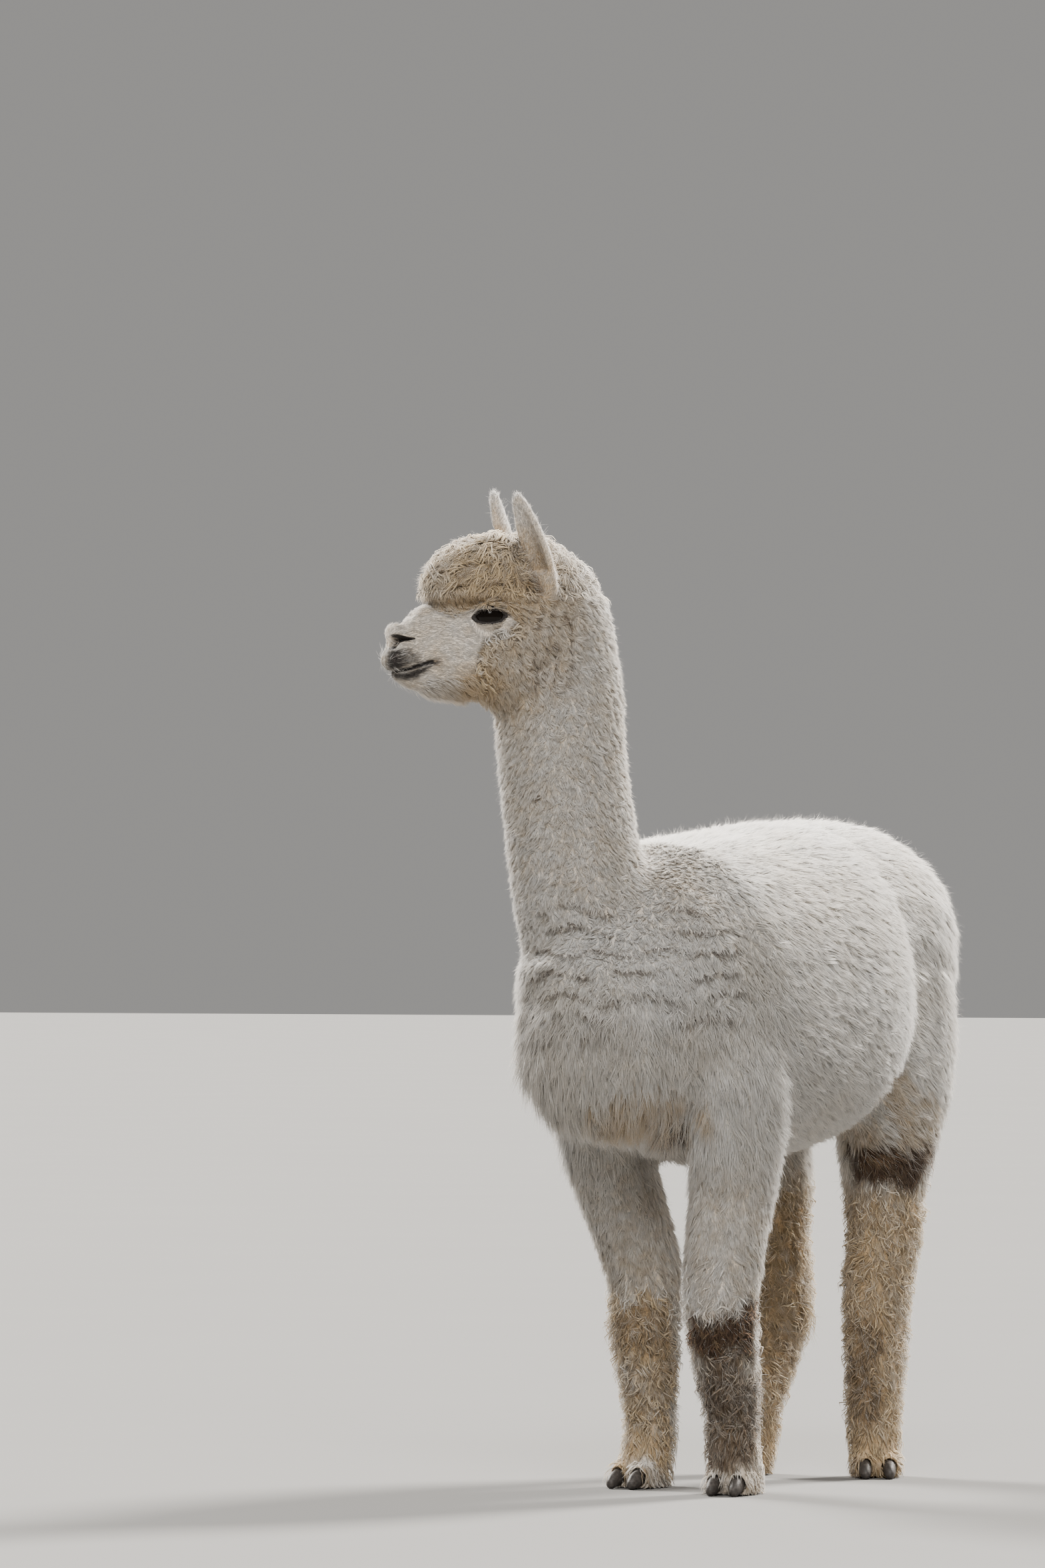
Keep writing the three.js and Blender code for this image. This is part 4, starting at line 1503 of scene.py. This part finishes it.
class ALPACA_OT_head_wool(bpy.types.Operator):
    """Curls of the topknot and wool of the cheeks"""

    bl_idname = "alpaca.head_wool"
    bl_label = "Head wool"
    bl_options = {"REGISTER", "UNDO"}

    def execute(self, context):
        grow_coats(context, "topknot_wool", HEAD_COATS)
        return {"FINISHED"}


class ALPACA_OT_leg_wool(bpy.types.Operator):
    """Wool of the four legs"""

    bl_idname = "alpaca.leg_wool"
    bl_label = "Leg wool"
    bl_options = {"REGISTER", "UNDO"}

    def execute(self, context):
        grow_coats(context, "leg_wool", LEG_COATS)
        return {"FINISHED"}


class ALPACA_OT_short_hair(bpy.types.Operator):
    """Short hair of the face, ears and feet, the whiskers and the eyelashes"""

    bl_idname = "alpaca.short_hair"
    bl_label = "Short hair"
    bl_options = {"REGISTER", "UNDO"}

    def execute(self, context):
        grow_coats(context, "short_hair", SHORT_COATS)
        return {"FINISHED"}


# ---------------------------------------------------------------- the stage

FLOOR_HALF = 60  # metres
CAMERA_PLACE = Vector((5.2009, -9.5480, 0.750))
CAMERA_TARGET = Vector((-0.2541, -0.0997, 0.970))
CAMERA_LENS, CAMERA_SENSOR = 180, 36  # millimetres, the second on the sensor's long side
CAMERA_SIGHT = 200  # metres
SKY = (0.315, 0.308, 0.298, 1)

# Suns: name, where each shines from, degrees of the sky that it is spread over, strength and colour.
SUNS = (
    ("light_behind_right", (0.34, 0.94, 0.90), 14, 12.5, (1, 0.955, 0.89)),
    ("light_behind_left", (-0.95, 0.30, 0.70), 16, 9.5, (1, 0.96, 0.90)),
    ("light_front", (2.2, -3.8, 3.6), 22, 2.7, (1, 0.98, 0.95)),
)


def turn_to(way):
    """The turn of a light or a camera that looks along a way."""
    return way.to_track_quat("-Z", "Y").to_euler()


class ALPACA_OT_stage(bpy.types.Operator):
    """Pale floor, soft studio light and the camera"""

    bl_idname = "alpaca.stage"
    bl_label = "Stage"
    bl_options = {"REGISTER", "UNDO"}

    def execute(self, context):
        grid = bmesh.new()
        bmesh.ops.create_grid(grid, x_segments=1, y_segments=1, size=FLOOR_HALF)
        floor = put_in_scene("floor", finished(grid, "floor"))
        floor.data.materials.append(floor_finish(context.scene.alpaca_colours))
        for name, place, spread, strength, tone in SUNS:
            sun = bpy.data.lights.new(name, "SUN")
            sun.angle = math.radians(spread)
            sun.energy = strength
            sun.color = tone
            put_in_scene(name, sun).rotation_euler = turn_to(-Vector(place))
        world = bpy.data.worlds.new("studio")
        world.use_nodes = True
        world.node_tree.nodes["Background"].inputs["Color"].default_value = SKY
        context.scene.world = world
        lens = bpy.data.cameras.new("camera")
        lens.lens = CAMERA_LENS
        lens.sensor_width = CAMERA_SENSOR
        lens.clip_end = CAMERA_SIGHT
        camera = put_in_scene("camera", lens)
        camera.location = CAMERA_PLACE
        camera.rotation_euler = turn_to(CAMERA_TARGET - CAMERA_PLACE)
        context.scene.camera = camera
        return {"FINISHED"}


class ALPACA_PT_panel(bpy.types.Panel):
    """Lists the alpaca's settings and steps"""

    bl_idname = "ALPACA_PT_panel"
    bl_label = "Alpaca"
    bl_space_type = "VIEW_3D"
    bl_region_type = "UI"
    bl_category = "Alpaca"

    def draw(self, context):
        for settings in (context.scene.alpaca_fleece, context.scene.alpaca_colours):
            box = self.layout.box()
            for name in settings.__annotations__:
                box.prop(settings, name)
        for operator in OPERATORS:
            self.layout.operator(operator.bl_idname)


OPERATORS = (
    ALPACA_OT_skin,
    ALPACA_OT_eyes,
    ALPACA_OT_toenails,
    ALPACA_OT_trunk_fleece,
    ALPACA_OT_head_wool,
    ALPACA_OT_leg_wool,
    ALPACA_OT_short_hair,
    ALPACA_OT_stage,
)
CLASSES = (AlpacaFleece, AlpacaColours, *OPERATORS, ALPACA_PT_panel)


def register():
    """Adds the alpaca's settings, steps and panel to Blender."""
    for cls in CLASSES:
        bpy.utils.register_class(cls)
    bpy.types.Scene.alpaca_fleece = bpy.props.PointerProperty(type=AlpacaFleece)
    bpy.types.Scene.alpaca_colours = bpy.props.PointerProperty(type=AlpacaColours)


def unregister():
    """Takes the alpaca's settings, steps and panel away again."""
    del bpy.types.Scene.alpaca_colours
    del bpy.types.Scene.alpaca_fleece
    for cls in reversed(CLASSES):
        bpy.utils.unregister_class(cls)


def main():
    """Builds the whole alpaca and its stage."""
    register()
    for operator in OPERATORS:
        group, step = operator.bl_idname.split(".")
        getattr(getattr(bpy.ops, group), step)()


if __name__ == "__main__":
    main()
